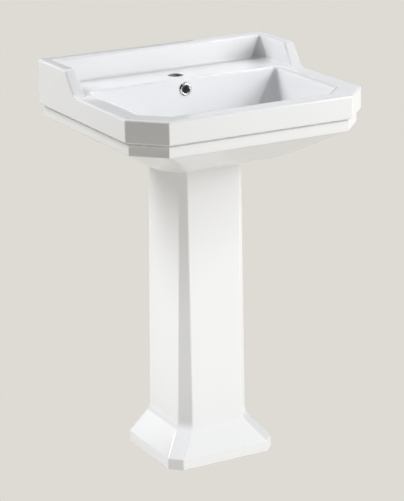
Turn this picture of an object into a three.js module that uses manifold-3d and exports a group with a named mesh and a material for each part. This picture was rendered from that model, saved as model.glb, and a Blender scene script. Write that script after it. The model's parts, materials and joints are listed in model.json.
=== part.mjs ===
// A bathroom basin on a full pedestal, with its overflow, push-to-close waste, bottle trap and wall fixings.
// Millimetres, +Z up. Everything is laid out from the wall plane at y = 0 with the front towards -Y, and the
// whole group is then moved so that the origin is under the middle of the basin, on the floor.
import * as THREE from "three";
import { mergeVertices } from "three/addons/utils/BufferGeometryUtils.js";
import Module from "manifold-3d";

const wasm = await Module();
wasm.setup();

// ---- driving dimensions ----------------------------------------------------------------------------------
const GAP = 0.3; // between pieces that touch

const BASIN_WIDTH = 560;
const BASIN_DEPTH = 483;
const RIM_Z = 838;
const UPPER_BAND_HEIGHT = 49.7;
const LOWER_BAND_HEIGHT = 28.7;
const BAND_STEP = 9.2; // how far the lower band stands back from the upper one
const CORNER_X = 65; // legs of the cut front corners
const CORNER_Y = 68;
const CHINA = 9; // thickness of the basin's cast walls

const UPSTAND_TOP_Z = 888.5;
const UPSTAND_TOP_THICKNESS = 29.5;
const UPSTAND_FOOT_Y = -45;
const WING_THICKNESS = 24;
const WING_DRAFT = 3; // extra thickness at the foot of a wing
const TRAY_COVE = 5; // at the foot of the upstand and wings
const TRAY_CORNER = [26, 2.5]; // legs of its cut upright corners, at the foot and at the top
const WING_TOP_FRONT_Y = -136;
const WING_KNEE = [-166, 850]; // y, z where the sloping front ends in a cove
const WING_FOOT_Y = -181;

const BOWL_RIM = { half: 243, back: -143.5, front: -445, backCorner: 26, corner: 52 }; // edge of its lip
const BOWL_LIP = 9; // height of the lip's round
const BOWL_HALF_WIDTH = 231; // of its walls, which would meet the rim here without the lip
const BOWL_BACK_Y = -146;
const BOWL_FRONT_Y = -437;
const BOWL_CORNER = 46; // legs of the cut front corners inside
const BOWL_BACK_CORNER = 4; // legs of the cut back corners at the rim, growing with depth
const BOWL_BACK_SPREAD = 0.43;
const BOWL_EDGE_RADIUS = 8; // of the front corners' edges at the rim, growing with depth
const BOWL_FRONT_SPREAD = 0.25;
const BOWL_DEPTH = 122;
const BOWL_FILLET = 48; // how far the floor's round reaches in from the sides and front
const BOWL_BACK_FILLET = 0.3; // and from the back, as a share of that
const BOWL_SIDE_DRAFT = 0.2;
const BOWL_BACK_DRAFT = 0.11;
const BOWL_FRONT_DRAFT = 0.3;

const SEAT_Z = 671; // flat under the basin, where the pedestal carries it
const UNDERSIDE_INSET = 5;
const UNDERSIDE_POWER = 1.7; // roundness of the bulge
const BACK_WALL = 12;
const REAR_HOLLOW_HALF_WIDTH = 236;
const REAR_HOLLOW_FRONT_Y = -124;
const REAR_EDGE = 20; // china left round the open back of the underside

const TAP_HOLE_Y = -103.6;
const TAP_HOLE_RADIUS = 17.5;
const OVERFLOW_Z = 815;
const OVERFLOW_HOLE_RADIUS = 11.5;
const CHANNEL_HALF_WIDTH = 14;
const CHANNEL_BACK_Y = -131;
const CHANNEL_FRONT_Y = -143;
const CHANNEL_WALL = 7;

const WASTE_Y = -215;
const WASTE_HOLE_RADIUS = 23;
const WASTE_TOP_Z = 703.5; // top of the waste flange, flush with the bowl floor
const WASTE_RECESS_RADIUS = 35;
const WASTE_RECESS_Z = 698;
const WASTE_BOSS_RADIUS = 37;
const WASTE_BOSS_Z = 662;

const TAIL_RADIUS = 20.9; // thread of the waste, outside
const TAIL_BORE = 18.6;
const TAIL_END_Z = 613;
const SLOT_Z = [675, 689];
const PLUG_TRAVEL = 8;

const PIPE_RADIUS = 16;
const PIPE_BORE = 14.4;
const TRAP_OUTLET_Z = 520;
const TRAP_RADIUS = 33;
const CUP_BOTTOM_Z = 400;
const DIP_Z = 429;

const FIXING_X = 140;
const FIXING_Z = 795;
const FIXING_HOLE_RADIUS = 7;

const PEDESTAL_TOP_Z = 668;
const PEDESTAL_WALL = 10;
const PEDESTAL_RETURN = 22; // width of the rolled back edges beside the open back
const PLINTH = { z: 24.8, half: 131.4, back: -85, front: -303.9, corner: 25.3 };
const SHAFT_FOOT = { z: 95, half: 85.3, back: -101, front: -266, corner: 24.2 };
const SHAFT_HEAD = { z: PEDESTAL_TOP_Z, half: 76.3, back: -109, front: -268.5, corner: 13 };
const FLARE_RADIUS = 35; // cove between the shaft and the sloping foot
const FLARE_ANGLE = THREE.MathUtils.degToRad(38.5);

// ---- finishes --------------------------------------------------------------------------------------------
const finish = (color, roughness, metalness = 0) =>
  new THREE.MeshStandardMaterial({ color, roughness, metalness });
const GLAZE = finish(0xf3f3f1, 0.08);
const CHROME = finish(0xd6d8da, 0.08, 1);
const STEEL = finish(0xb5b7b8, 0.35, 1);
const BRASS = finish(0xc3a35a, 0.3, 1);
const RUBBER = finish(0x2b2b2c, 0.75);
const SILICONE = finish(0xeeeeea, 0.45);
const NYLON = finish(0xe9e8e2, 0.5);

// ---- solids and outlines ---------------------------------------------------------------------------------
function signedVolume(geometry) {
  const p = geometry.attributes.position;
  const index = geometry.index.array;
  const [a, b, c] = [new THREE.Vector3(), new THREE.Vector3(), new THREE.Vector3()];
  let sum = 0;
  for (let i = 0; i < index.length; i += 3) {
    a.fromBufferAttribute(p, index[i]);
    b.fromBufferAttribute(p, index[i + 1]);
    c.fromBufferAttribute(p, index[i + 2]);
    sum += a.dot(b.cross(c));
  }
  return sum;
}

// One closed body with shared vertices and its faces pointing out.
function closed(geometry) {
  const bare = geometry.clone();
  bare.deleteAttribute("normal");
  bare.deleteAttribute("uv");
  const merged = mergeVertices(bare, 1e-3);
  if (signedVolume(merged) < 0) {
    const index = merged.index.array;
    for (let i = 0; i < index.length; i += 3) {
      [index[i + 1], index[i + 2]] = [index[i + 2], index[i + 1]];
    }
  }
  return merged;
}

function solid(geometry) {
  const g = closed(geometry);
  const vertProperties = new Float32Array(g.attributes.position.array);
  const triVerts = new Uint32Array(g.index.array);
  return new wasm.Manifold(new wasm.Mesh({ numProp: 3, vertProperties, triVerts }));
}

const joined = (...solids) => solids.reduce((sum, s) => sum.add(s));
const cut = (body, ...tools) => tools.reduce((rest, s) => rest.subtract(s), body);

function geometryOf(manifold) {
  const mesh = manifold.getMesh();
  const geometry = new THREE.BufferGeometry();
  geometry.setAttribute("position", new THREE.BufferAttribute(mesh.vertProperties, 3));
  geometry.setIndex(new THREE.BufferAttribute(mesh.triVerts, 1));
  return geometry;
}

// The outline of the basin or pedestal at one height: square back corners and cut front corners,
// anticlockwise from above.
function cutCornerOutline(half, back, front, cornerX, cornerY = cornerX) {
  return [
    [half, back],
    [-half, back],
    [-half, front + cornerY],
    [-half + cornerX, front],
    [half - cornerX, front],
    [half, front + cornerY],
  ];
}

// Moves a cut-corner outline's sides in by the same distance (out, if it is negative).
function insetSection(s, distance) {
  const corner = Math.max(s.corner - distance * (2 - Math.SQRT2), 1);
  return { half: s.half - distance, back: s.back - distance, front: s.front + distance, corner };
}

const sectionOutline = (s) => cutCornerOutline(s.half, s.back, s.front, s.corner);

// A section with all four corners cut, anticlockwise from the right end of its back.
function octagonOutline(half, back, front, backLeg, frontLeg) {
  return [
    [half, back - backLeg], [half - backLeg, back], [-half + backLeg, back], [-half, back - backLeg],
    [-half, front + frontLeg], [-half + frontLeg, front], [half - frontLeg, front], [half, front + frontLeg],
  ];
}

// Replaces each corner of a polygon by an arc of the given radius, with the same number of points whatever
// the radius, so that outlines can be lofted. Each straight side may get points of its own.
function roundedOutline(corners, radii, steps, sidePoints = 0) {
  const arcs = corners.map((corner, i) => {
    const here = new THREE.Vector2(...corner);
    const before = new THREE.Vector2(...corners.at(i - 1)).sub(here).normalize();
    const after = new THREE.Vector2(...corners[(i + 1) % corners.length]).sub(here).normalize();
    const halfAngle = Math.acos(THREE.MathUtils.clamp(before.dot(after), -1, 1)) / 2;
    const radius = radii[i];
    const bisector = before.clone().add(after).normalize();
    const centre = here.clone().addScaledVector(bisector, radius / Math.sin(halfAngle));
    const first = before.clone().multiplyScalar(radius / Math.tan(halfAngle)).add(here).sub(centre);
    const turn = Math.PI - 2 * halfAngle;
    return Array.from({ length: steps + 1 }, (_, k) =>
      first.clone().rotateAround(new THREE.Vector2(), (turn * k) / steps).add(centre));
  });
  return arcs.flatMap((arc, i) => {
    const [from, to] = [arc.at(-1), arcs[(i + 1) % arcs.length][0]];
    const point = (_, k) => from.clone().lerp(to, (k + 1) / (sidePoints + 1));
    const side = Array.from({ length: sidePoints }, point);
    return [...arc, ...side].map((p) => [p.x, p.y]);
  });
}

// A skin through outlines of equal length at rising heights, closed at both ends.
function loft(outlines, heights) {
  const count = outlines[0].length;
  const position = outlines.flatMap((outline, k) => outline.flatMap(([x, y]) => [x, y, heights[k]]));
  const index = [];
  for (let k = 0; k + 1 < outlines.length; k++) {
    for (let i = 0; i < count; i++) {
      const a = k * count + i;
      const b = k * count + ((i + 1) % count);
      index.push(a, b, b + count, a, b + count, a + count);
    }
  }
  const last = (outlines.length - 1) * count;
  const cap = (outline) => {
    const points = outline.map(([x, y]) => new THREE.Vector2(x, y));
    return THREE.ShapeUtils.triangulateShape(points, []);
  };
  cap(outlines[0]).forEach(([a, b, c]) => index.push(a, c, b));
  cap(outlines.at(-1)).forEach(([a, b, c]) => index.push(last + a, last + b, last + c));
  const geometry = new THREE.BufferGeometry();
  geometry.setAttribute("position", new THREE.Float32BufferAttribute(position, 3));
  geometry.setIndex(index);
  return geometry;
}

const prism = (outline, z0, z1) => loft([outline, outline], [z0, z1]);

// A block between two corners.
function block([x0, y0, z0], [x1, y1, z1]) {
  const geometry = new THREE.BoxGeometry(x1 - x0, y1 - y0, z1 - z0);
  return geometry.translate((x0 + x1) / 2, (y0 + y1) / 2, (z0 + z1) / 2);
}

// A solid turned about +Z from [radius, z] points. Unless it starts and ends on the axis, it is a ring.
function turned(profile, x = 0, y = 0, segments = 24) {
  const onAxis = profile[0][0] === 0 && profile.at(-1)[0] === 0;
  const points = (onAxis ? profile : [...profile, profile[0]]).map(([r, z]) => new THREE.Vector2(r, z));
  return new THREE.LatheGeometry(points, segments).rotateX(Math.PI / 2).translate(x, y, 0);
}

const cylinder = (radius, z0, z1, x = 0, y = 0, segments = 24) =>
  turned([[0, z0], [radius, z0], [radius, z1], [0, z1]], x, y, segments);

const ring = (inner, outer, z0, z1, x = 0, y = 0, segments = 20) =>
  turned([[inner, z0], [outer, z0], [outer, z1], [inner, z1]], x, y, segments);

// Lays a piece made about +Z along the wall's normal: its z becomes y, measured from the wall.
const outFromWall = (geometry, x, z) => geometry.rotateX(-Math.PI / 2).translate(x, 0, z);

function hexNut(acrossFlats, boreRadius, z0, z1, x = 0, y = 0) {
  const body = cylinder(acrossFlats / Math.sqrt(3), z0, z1, x, y, 6);
  return cut(solid(body), solid(cylinder(boreRadius, z0 - 1, z1 + 1, x, y)));
}

// ---- basin -----------------------------------------------------------------------------------------------
const STEP_Z = RIM_Z - UPPER_BAND_HEIGHT;
const BAND_FOOT_Z = STEP_Z - LOWER_BAND_HEIGHT;
const HALF_WIDTH = BASIN_WIDTH / 2;

function bandOutline(inset, backInset = 0) {
  const cornerShift = inset * (2 - Math.SQRT2);
  const [cx, cy] = [CORNER_X - cornerShift, CORNER_Y - cornerShift];
  return cutCornerOutline(HALF_WIDTH - inset, -backInset, -BASIN_DEPTH + inset, cx, cy);
}

// The underside's levels, rising: a shallow bulge from the pedestal's head out to the lower band.
function undersideLevels(inset) {
  const outer = bandOutline(BAND_STEP + UNDERSIDE_INSET + inset);
  const inner = sectionOutline(insetSection(SHAFT_HEAD, inset - 2));
  const steps = 10;
  const levels = [];
  for (let k = steps; k >= 0; k--) {
    const t = (k / steps) ** 1.3;
    const fall = (1 - (1 - t) ** UNDERSIDE_POWER) ** 1.1;
    const outline = outer.map(([x, y], i) => [
      THREE.MathUtils.lerp(x, inner[i][0], t),
      THREE.MathUtils.lerp(y, inner[i][1], t),
    ]);
    levels.push({ outline, z: BAND_FOOT_Z - (BAND_FOOT_Z - SEAT_Z) * fall });
  }
  return levels;
}

function underside(inset, lift) {
  const levels = undersideLevels(inset);
  const outlines = [...levels, levels.at(-1)].map((level) => level.outline);
  return solid(loft(outlines, [...levels.map((level) => level.z + lift), STEP_Z - 2]));
}

// The space behind the bowl, open through the back of the underside, for the tap's tail and the fixings.
function rearHollow() {
  const levels = undersideLevels(REAR_EDGE);
  const outlines = levels.map(({ outline }) => {
    const half = Math.min(outline[0][0], REAR_HOLLOW_HALF_WIDTH);
    return cutCornerOutline(half, -BACK_WALL, REAR_HOLLOW_FRONT_Y, 1);
  });
  const heights = levels.map((level) => level.z);
  return solid(loft(
    [outlines[0], ...outlines, outlines.at(-1)],
    [WASTE_BOSS_Z - 20, ...heights.map((z) => z + 0.5), RIM_Z - CHINA],
  ));
}

// The upstand along the wall with a wing at each side, left when a tray is cut out of a block whose ends
// have the wings' outline.
function upstand() {
  const [kneeY, kneeZ] = WING_KNEE;
  const cove = new THREE.QuadraticBezierCurve(
    new THREE.Vector2(kneeY, kneeZ),
    new THREE.Vector2(-172, RIM_Z + 1),
    new THREE.Vector2(WING_FOOT_Y, RIM_Z),
  ).getPoints(4).map((p) => [p.x, p.y]);
  const profile = [[0, STEP_Z + 10], [0, UPSTAND_TOP_Z], [WING_TOP_FRONT_Y, UPSTAND_TOP_Z], ...cove,
    [WING_FOOT_Y, STEP_Z + 10]];
  const shape = new THREE.Shape(profile.map(([y, z]) => new THREE.Vector2(y, z)));
  const extent = { depth: BASIN_WIDTH, bevelEnabled: false, curveSegments: 1 };
  const blank = new THREE.ExtrudeGeometry(shape, extent);
  blank.applyMatrix4(new THREE.Matrix4().makeBasis(
    new THREE.Vector3(0, 1, 0), new THREE.Vector3(0, 0, 1), new THREE.Vector3(1, 0, 0),
  ));
  blank.translate(-HALF_WIDTH, 0, 0);

  const topHalf = HALF_WIDTH - WING_THICKNESS;
  const level = (height, coveWidth) => {
    const up = (height - RIM_Z) / (UPSTAND_TOP_Z - RIM_Z);
    const leg = THREE.MathUtils.lerp(...TRAY_CORNER, Math.min(up, 1));
    const half = topHalf - WING_DRAFT * (1 - up) - coveWidth;
    const foot = UPSTAND_FOOT_Y + TRAY_COVE;
    const back = THREE.MathUtils.lerp(foot, -UPSTAND_TOP_THICKNESS, up) - coveWidth;
    const corners = octagonOutline(half, back, -400, leg, 1);
    return roundedOutline(corners, corners.map((_, i) => (i < 4 ? leg * 0.3 : 1)), 3);
  };
  const heights = [RIM_Z, RIM_Z + 1.5, RIM_Z + TRAY_COVE, UPSTAND_TOP_Z + 1];
  const tray = loft([TRAY_COVE, 1.5, 0, 0].map((coveWidth, i) => level(heights[i], coveWidth)), heights);
  return cut(solid(blank), solid(tray));
}

// The inside of the bowl, or with a thickness, the outside of its cast wall.
function bowl(thickness = 0) {
  const outlines = [];
  const heights = [];
  const level = (depth, fillet) => {
    const half = BOWL_HALF_WIDTH - BOWL_SIDE_DRAFT * depth - fillet + thickness;
    const back = BOWL_BACK_Y - BOWL_BACK_DRAFT * depth - fillet * BOWL_BACK_FILLET + thickness;
    const front = BOWL_FRONT_Y + BOWL_FRONT_DRAFT * depth + fillet - thickness;
    const grow = thickness * (2 - Math.SQRT2);
    const backLeg = BOWL_BACK_CORNER + BOWL_BACK_SPREAD * depth + fillet * 0.2 + grow;
    const corners = octagonOutline(half, back, front, backLeg, BOWL_CORNER + fillet * 0.4 + grow);
    const radius = BOWL_EDGE_RADIUS + BOWL_FRONT_SPREAD * depth + thickness;
    outlines.push(roundedOutline(corners, corners.map((_, i) => (i < 4 ? 6 : radius)), 3, 3));
    heights.push(RIM_Z - depth - thickness);
  };
  const steps = 5;
  for (let k = 0; k <= steps; k++) {
    const angle = (Math.PI / 2) * (1 - k / steps);
    const depth = BOWL_DEPTH - BOWL_FILLET * 0.85 * (1 - Math.sin(angle));
    level(depth, BOWL_FILLET * (1 - Math.cos(angle)));
  }
  level(BOWL_LIP, 0);
  const wall = outlines.at(-1);
  const { half, back, front, backCorner, corner } = BOWL_RIM;
  const edge = octagonOutline(half + thickness, back + thickness, front - thickness, backCorner, corner);
  const rim = roundedOutline(edge, edge.map(() => 10), 3, 3);
  for (const angle of [0.25, 0.5, 0.75, 1].map((t) => (t * Math.PI) / 2)) {
    const out = 1 - Math.cos(angle);
    outlines.push(wall.map(([x, y], i) => [
      THREE.MathUtils.lerp(x, rim[i][0], out),
      THREE.MathUtils.lerp(y, rim[i][1], out),
    ]));
    heights.push(RIM_Z - thickness - BOWL_LIP * (1 - Math.sin(angle)));
  }
  outlines.push(rim);
  heights.push(RIM_Z + 12);
  outlines.unshift(circleRoundWaste(outlines[0], WASTE_RECESS_RADIUS + thickness));
  heights.unshift(WASTE_TOP_Z - thickness);
  return solid(loft(outlines, heights));
}

// A circle round the waste with one point for each point of the outline above it.
function circleRoundWaste(outline, radius) {
  const angles = outline.map(([x, y]) => Math.atan2(y - WASTE_Y, x));
  return angles.map((a) => [radius * Math.cos(a), WASTE_Y + radius * Math.sin(a)]);
}

// A tool about the overflow hole's axis, which is square to the sloping back of the bowl.
function aboutOverflow(geometry) {
  const wallY = BOWL_BACK_Y - BOWL_BACK_DRAFT * (RIM_Z - OVERFLOW_Z);
  return geometry.rotateX(Math.PI / 2 - Math.atan(BOWL_BACK_DRAFT)).translate(0, wallY, OVERFLOW_Z);
}

function overflowDuct() {
  const half = CHANNEL_HALF_WIDTH + CHANNEL_WALL;
  const back = CHANNEL_BACK_Y + CHANNEL_WALL;
  return joined(
    solid(block([-half, -165, WASTE_BOSS_Z + 2], [half, back, RIM_Z - 1])),
    solid(block([-half, WASTE_Y, WASTE_BOSS_Z + 2], [half, back, SLOT_Z[1] + CHANNEL_WALL])),
  );
}

function overflowChannel() {
  const half = CHANNEL_HALF_WIDTH;
  return joined(
    solid(block([-half, CHANNEL_FRONT_Y, SLOT_Z[0]], [half, CHANNEL_BACK_Y, OVERFLOW_Z + 10])),
    solid(block([-half, WASTE_Y, SLOT_Z[0]], [half, CHANNEL_BACK_Y, SLOT_Z[1]])),
  );
}

function basin() {
  const outer = joined(
    solid(prism(bandOutline(0), STEP_Z, RIM_Z)),
    solid(prism(bandOutline(BAND_STEP), BAND_FOOT_Z, STEP_Z + 1)),
    underside(0, 0),
    upstand(),
  );
  const boss = solid(cylinder(WASTE_BOSS_RADIUS, WASTE_BOSS_Z, WASTE_RECESS_Z + 2, 0, WASTE_Y));
  const kept = joined(bowl(CHINA), overflowDuct(), boss);

  const inside = joined(
    solid(prism(bandOutline(BAND_STEP + CHINA, BACK_WALL), BAND_FOOT_Z - 4, RIM_Z - CHINA)),
    underside(CHINA, CHINA + 1),
  );
  const behindWall = solid(block([-HALF_WIDTH, -BACK_WALL, 0], [HALF_WIDTH, 10, RIM_Z]));
  const hollow = cut(joined(inside, rearHollow()), kept, behindWall).decompose()
    .reduce((most, s) => (s.volume() > most.volume() ? s : most));

  const fixingHoles = [-FIXING_X, FIXING_X].map((x) =>
    solid(outFromWall(cylinder(FIXING_HOLE_RADIUS, -BACK_WALL - 5, 5), x, FIXING_Z)));
  return geometryOf(cut(
    joined(outer, boss),
    hollow,
    bowl(),
    solid(cylinder(WASTE_RECESS_RADIUS, WASTE_RECESS_Z, WASTE_TOP_Z + 18, 0, WASTE_Y)),
    solid(cylinder(WASTE_HOLE_RADIUS, WASTE_BOSS_Z - 5, WASTE_TOP_Z, 0, WASTE_Y)),
    solid(cylinder(TAP_HOLE_RADIUS, RIM_Z - CHINA - 5, RIM_Z + 5, 0, TAP_HOLE_Y, 32)),
    overflowChannel(),
    solid(aboutOverflow(cylinder(OVERFLOW_HOLE_RADIUS, -14, 6))),
    ...fixingHoles,
  ));
}

function overflowRing() {
  const [inner, sleeve, flange] = [8.3, OVERFLOW_HOLE_RADIUS - GAP, 15];
  return aboutOverflow(turned([
    [inner, -7], [sleeve, -7], [sleeve, GAP], [flange, GAP], [flange, 1.4], [flange - 1.5, 2.6],
    [inner + 1, 2.2], [inner, 1],
  ]));
}

// ---- pedestal --------------------------------------------------------------------------------------------
// Its section at a height: a straight tapering shaft, a cove, a sloping foot and an upright plinth.
function pedestalSection(z) {
  const coveEnd = SHAFT_FOOT.z - FLARE_RADIUS * Math.sin(FLARE_ANGLE);
  const spread = PLINTH.half - SHAFT_FOOT.half;
  let [from, to, t] = [SHAFT_FOOT, SHAFT_HEAD, (z - SHAFT_FOOT.z) / (SHAFT_HEAD.z - SHAFT_FOOT.z)];
  if (z < SHAFT_FOOT.z) {
    [from, to] = [SHAFT_FOOT, PLINTH];
    const angle = Math.asin(Math.min((SHAFT_FOOT.z - z) / FLARE_RADIUS, Math.sin(FLARE_ANGLE)));
    t = (FLARE_RADIUS * (1 - Math.cos(angle))) / spread;
    if (z < coveEnd) t += (1 - t) * Math.min((coveEnd - z) / (coveEnd - PLINTH.z), 1);
  }
  const mix = (key) => THREE.MathUtils.lerp(from[key], to[key], t);
  return { half: mix("half"), back: mix("back"), front: mix("front"), corner: mix("corner") };
}

function pedestalHeights() {
  const heights = [0, PLINTH.z - 2.5, PLINTH.z];
  for (let k = 5; k >= 0; k--) heights.push(SHAFT_FOOT.z - FLARE_RADIUS * Math.sin((FLARE_ANGLE * k) / 5));
  return [...heights, PEDESTAL_TOP_Z];
}

function pedestal() {
  const heights = pedestalHeights();
  const eased = (z) => insetSection(pedestalSection(z), z === PLINTH.z ? 2.5 : 0);
  const outer = loft(heights.map((z) => sectionOutline(eased(z))), heights);
  const inner = loft(heights.map((z) => sectionOutline(insetSection(pedestalSection(z), PEDESTAL_WALL))),
    heights.map((z, i) => (i === 0 ? -1 : i === heights.length - 1 ? z + 1 : z)));
  const openBack = loft(heights.map((z) => {
    const s = pedestalSection(z);
    return cutCornerOutline(s.half - PEDESTAL_RETURN, 5, s.back - PEDESTAL_WALL - 5, 1);
  }), heights.map((z, i) => (i === 0 ? -1 : i === heights.length - 1 ? z + 1 : z)));
  const lugs = [-1, 1].map((side) => {
    const x = side * 103;
    const lug = solid(block([x - 22, PLINTH.back - 45, 0], [x + 22, PLINTH.back - 6, 14]));
    return cut(lug, solid(cylinder(4, -1, 15, x, PLINTH.back - 30, 16)));
  });
  return geometryOf(joined(cut(solid(outer), solid(inner), solid(openBack)), ...lugs));
}

// The bed of sealant between the pedestal's head and the basin.
function beddingSeal() {
  const top = pedestalSection(PEDESTAL_TOP_Z);
  const [z0, z1] = [PEDESTAL_TOP_Z + GAP, SEAT_Z - GAP];
  const outer = solid(prism(sectionOutline(insetSection(top, 1.5)), z0, z1));
  const inner = solid(prism(sectionOutline(insetSection(top, PEDESTAL_WALL - 1.5)), z0 - 1, z1 + 1));
  const backHalf = top.half - PEDESTAL_RETURN;
  const opening = block([-backHalf, top.back - 20, z0 - 1], [backHalf, 0, z1 + 1]);
  return geometryOf(cut(outer, inner, solid(opening)));
}

// ---- waste -----------------------------------------------------------------------------------------------
const BAR_Z = [653, 660]; // the cross bar inside the waste that holds the plug's cartridge
const PLUG_SEAL_Z = WASTE_TOP_Z + PLUG_TRAVEL + GAP;
const SPRING_Z = [665.3, 683.7];

const atWaste = (profile, segments) => turned(profile, 0, WASTE_Y, segments);

function wasteBody() {
  const tube = solid(atWaste([
    [TAIL_BORE, TAIL_END_Z], [TAIL_RADIUS, TAIL_END_Z], [TAIL_RADIUS, WASTE_TOP_Z - 3],
    [31.5, WASTE_TOP_Z - 3], [31.5, WASTE_TOP_Z - 1.2], [30.3, WASTE_TOP_Z], [22.5, WASTE_TOP_Z],
    [TAIL_BORE, WASTE_TOP_Z - 5],
  ]));
  const slots = [0, 90].map((degrees) => {
    const slot = block([-25, -7, SLOT_Z[0]], [25, 7, SLOT_Z[1]]);
    return solid(slot.rotateZ(THREE.MathUtils.degToRad(degrees)).translate(0, WASTE_Y, 0));
  });
  const bars = [45, 135].map((degrees) => {
    const bar = block([-TAIL_BORE - 1, -1.5, BAR_Z[0]], [TAIL_BORE + 1, 1.5, BAR_Z[1]]);
    return solid(bar.rotateZ(THREE.MathUtils.degToRad(degrees)).translate(0, WASTE_Y, 0));
  });
  const hub = solid(cylinder(6.5, BAR_Z[0], BAR_Z[1], 0, WASTE_Y, 20));
  const hubHole = solid(cylinder(4, BAR_Z[0] - 1, BAR_Z[1] + 1, 0, WASTE_Y, 20));
  return geometryOf(cut(joined(cut(tube, ...slots), ...bars, hub), hubHole));
}

const wasteFlangeSeal = () =>
  ring(TAIL_RADIUS + 0.4, 30.5, WASTE_RECESS_Z + GAP, WASTE_TOP_Z - 3 - GAP, 0, WASTE_Y);

const wasteLowerWasher = () =>
  ring(TAIL_RADIUS + 0.4, 30, WASTE_BOSS_Z - 5.3, WASTE_BOSS_Z - GAP, 0, WASTE_Y);

const wasteBackNut = () =>
  geometryOf(hexNut(52, TAIL_RADIUS + 0.4, WASTE_BOSS_Z - 15, WASTE_BOSS_Z - 5.6, 0, WASTE_Y));

const plugCartridge = () => atWaste([
  [0, BAR_Z[0] - 1], [3.7, BAR_Z[0] - 1], [3.7, BAR_Z[1] + GAP], [7, BAR_Z[1] + GAP], [7, 695],
  [5.6, 695], [5.6, 665], [0, 665],
], 20);

function plugSpring() {
  const [wire, radius, turns, stepsPerTurn] = [0.5, 4.2, 5, 10];
  const [low, high] = [SPRING_Z[0] + wire, SPRING_Z[1] - wire];
  class Helix extends THREE.Curve {
    getPoint(t, point = new THREE.Vector3()) {
      const angle = 2 * Math.PI * turns * t;
      return point.set(radius * Math.cos(angle), WASTE_Y + radius * Math.sin(angle), low + (high - low) * t);
    }
  }
  const wireEdge = new THREE.EllipseCurve(0, 0, wire * 0.9, wire * 0.9);
  const section = new THREE.Shape(wireEdge.getPoints(5).slice(0, 5));
  return new THREE.ExtrudeGeometry(section, { extrudePath: new Helix(), steps: turns * stepsPerTurn });
}

const plugStem = () => atWaste([
  [0, SPRING_Z[1] + GAP], [5, SPRING_Z[1] + GAP], [5, 690], [4.2, 690.5], [4.2, PLUG_SEAL_Z - 3],
  [12, PLUG_SEAL_Z - 2], [12, PLUG_SEAL_Z + 3], [0, PLUG_SEAL_Z + 3],
], 20);

const plugSeal = () => atWaste([
  [12.4, PLUG_SEAL_Z + 1], [20, PLUG_SEAL_Z], [25, PLUG_SEAL_Z], [26.5, PLUG_SEAL_Z + 3],
  [12.4, PLUG_SEAL_Z + 3],
]);

function plugCap() {
  const [low, rim, crown, radius] = [PLUG_SEAL_Z + 3 + GAP, 2.4, 5.5, 31];
  const dome = [0, 1, 2, 3, 4, 5].map((k) => {
    const r = radius - 0.8 - (k / 5) * (radius - 0.8);
    return [r, low + rim + (crown - rim) * (1 - (r / radius) ** 2.4)];
  });
  return atWaste([[0, low], [radius, low], [radius, low + rim - 0.8], ...dome]);
}

// ---- bottle trap -----------------------------------------------------------------------------------------
const COLLAR_TOP_Z = TAIL_END_Z - 3.6;
const NECK_TOP_Z = 556;
const HEAD_TOP_Z = 543;
const HEAD_FOOT_Z = 498;
const OUTLET_NECK_Y = WASTE_Y + 47;

const trapInletWasher = () => ring(PIPE_RADIUS - 1, 20, COLLAR_TOP_Z + GAP, TAIL_END_Z - GAP, 0, WASTE_Y);

const trapInletNut = () => atWaste([
  [PIPE_RADIUS + 0.5, COLLAR_TOP_Z - 7.4], [22, COLLAR_TOP_Z - 7.4], [24.5, COLLAR_TOP_Z - 5],
  [24.5, TAIL_END_Z + 10], [23.6, TAIL_END_Z + 11], [TAIL_RADIUS + 0.4, TAIL_END_Z + 11],
  [TAIL_RADIUS + 0.4, COLLAR_TOP_Z - 3.4], [PIPE_RADIUS + 0.5, COLLAR_TOP_Z - 3.4],
]);

const trapInletTube = () => atWaste([
  [PIPE_BORE, DIP_Z], [PIPE_RADIUS, DIP_Z], [PIPE_RADIUS, COLLAR_TOP_Z - 3], [20.4, COLLAR_TOP_Z - 3],
  [20.4, COLLAR_TOP_Z], [PIPE_BORE, COLLAR_TOP_Z],
]);

const trapCollarSeal = () => atWaste([
  [PIPE_RADIUS + 0.3, NECK_TOP_Z + GAP], [19.4, NECK_TOP_Z + GAP], [17.4, NECK_TOP_Z + 5],
  [PIPE_RADIUS + 0.3, NECK_TOP_Z + 5],
]);

const trapCollarNut = () => atWaste([
  [20.4, HEAD_TOP_Z + 1], [23.5, HEAD_TOP_Z + 1], [23.5, NECK_TOP_Z + 7], [21.5, NECK_TOP_Z + 9],
  [PIPE_RADIUS + 0.5, NECK_TOP_Z + 9], [PIPE_RADIUS + 0.5, NECK_TOP_Z + 5.4], [20.4, NECK_TOP_Z + 5.4],
]);

function trapHead() {
  const shell = solid(atWaste([
    [30 - 2.4, HEAD_FOOT_Z - 18], [30, HEAD_FOOT_Z - 18], [30, HEAD_FOOT_Z],
    [TRAP_RADIUS, HEAD_FOOT_Z], [TRAP_RADIUS, HEAD_TOP_Z - 6], [TRAP_RADIUS - 6, HEAD_TOP_Z],
    [20, HEAD_TOP_Z], [20, NECK_TOP_Z], [PIPE_RADIUS + 0.5, NECK_TOP_Z],
    [PIPE_RADIUS + 0.5, HEAD_TOP_Z - 4], [TRAP_RADIUS - 8, HEAD_TOP_Z - 4], [30 - 2.4, HEAD_TOP_Z - 9],
  ]));
  const alongPipe = (radius, y0, y1) =>
    solid(outFromWall(cylinder(radius, y0, y1), 0, TRAP_OUTLET_Z));
  const boss = cut(alongPipe(20, WASTE_Y + 26, OUTLET_NECK_Y), solid(cylinder(29, 480, 560, 0, WASTE_Y)));
  return geometryOf(cut(joined(shell, boss), alongPipe(PIPE_RADIUS + 0.5, WASTE_Y + 20, OUTLET_NECK_Y + 5)));
}

const trapCupSeal = () => ring(30.4, 32.6, HEAD_FOOT_Z - 2.6, HEAD_FOOT_Z - GAP, 0, WASTE_Y);

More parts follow.
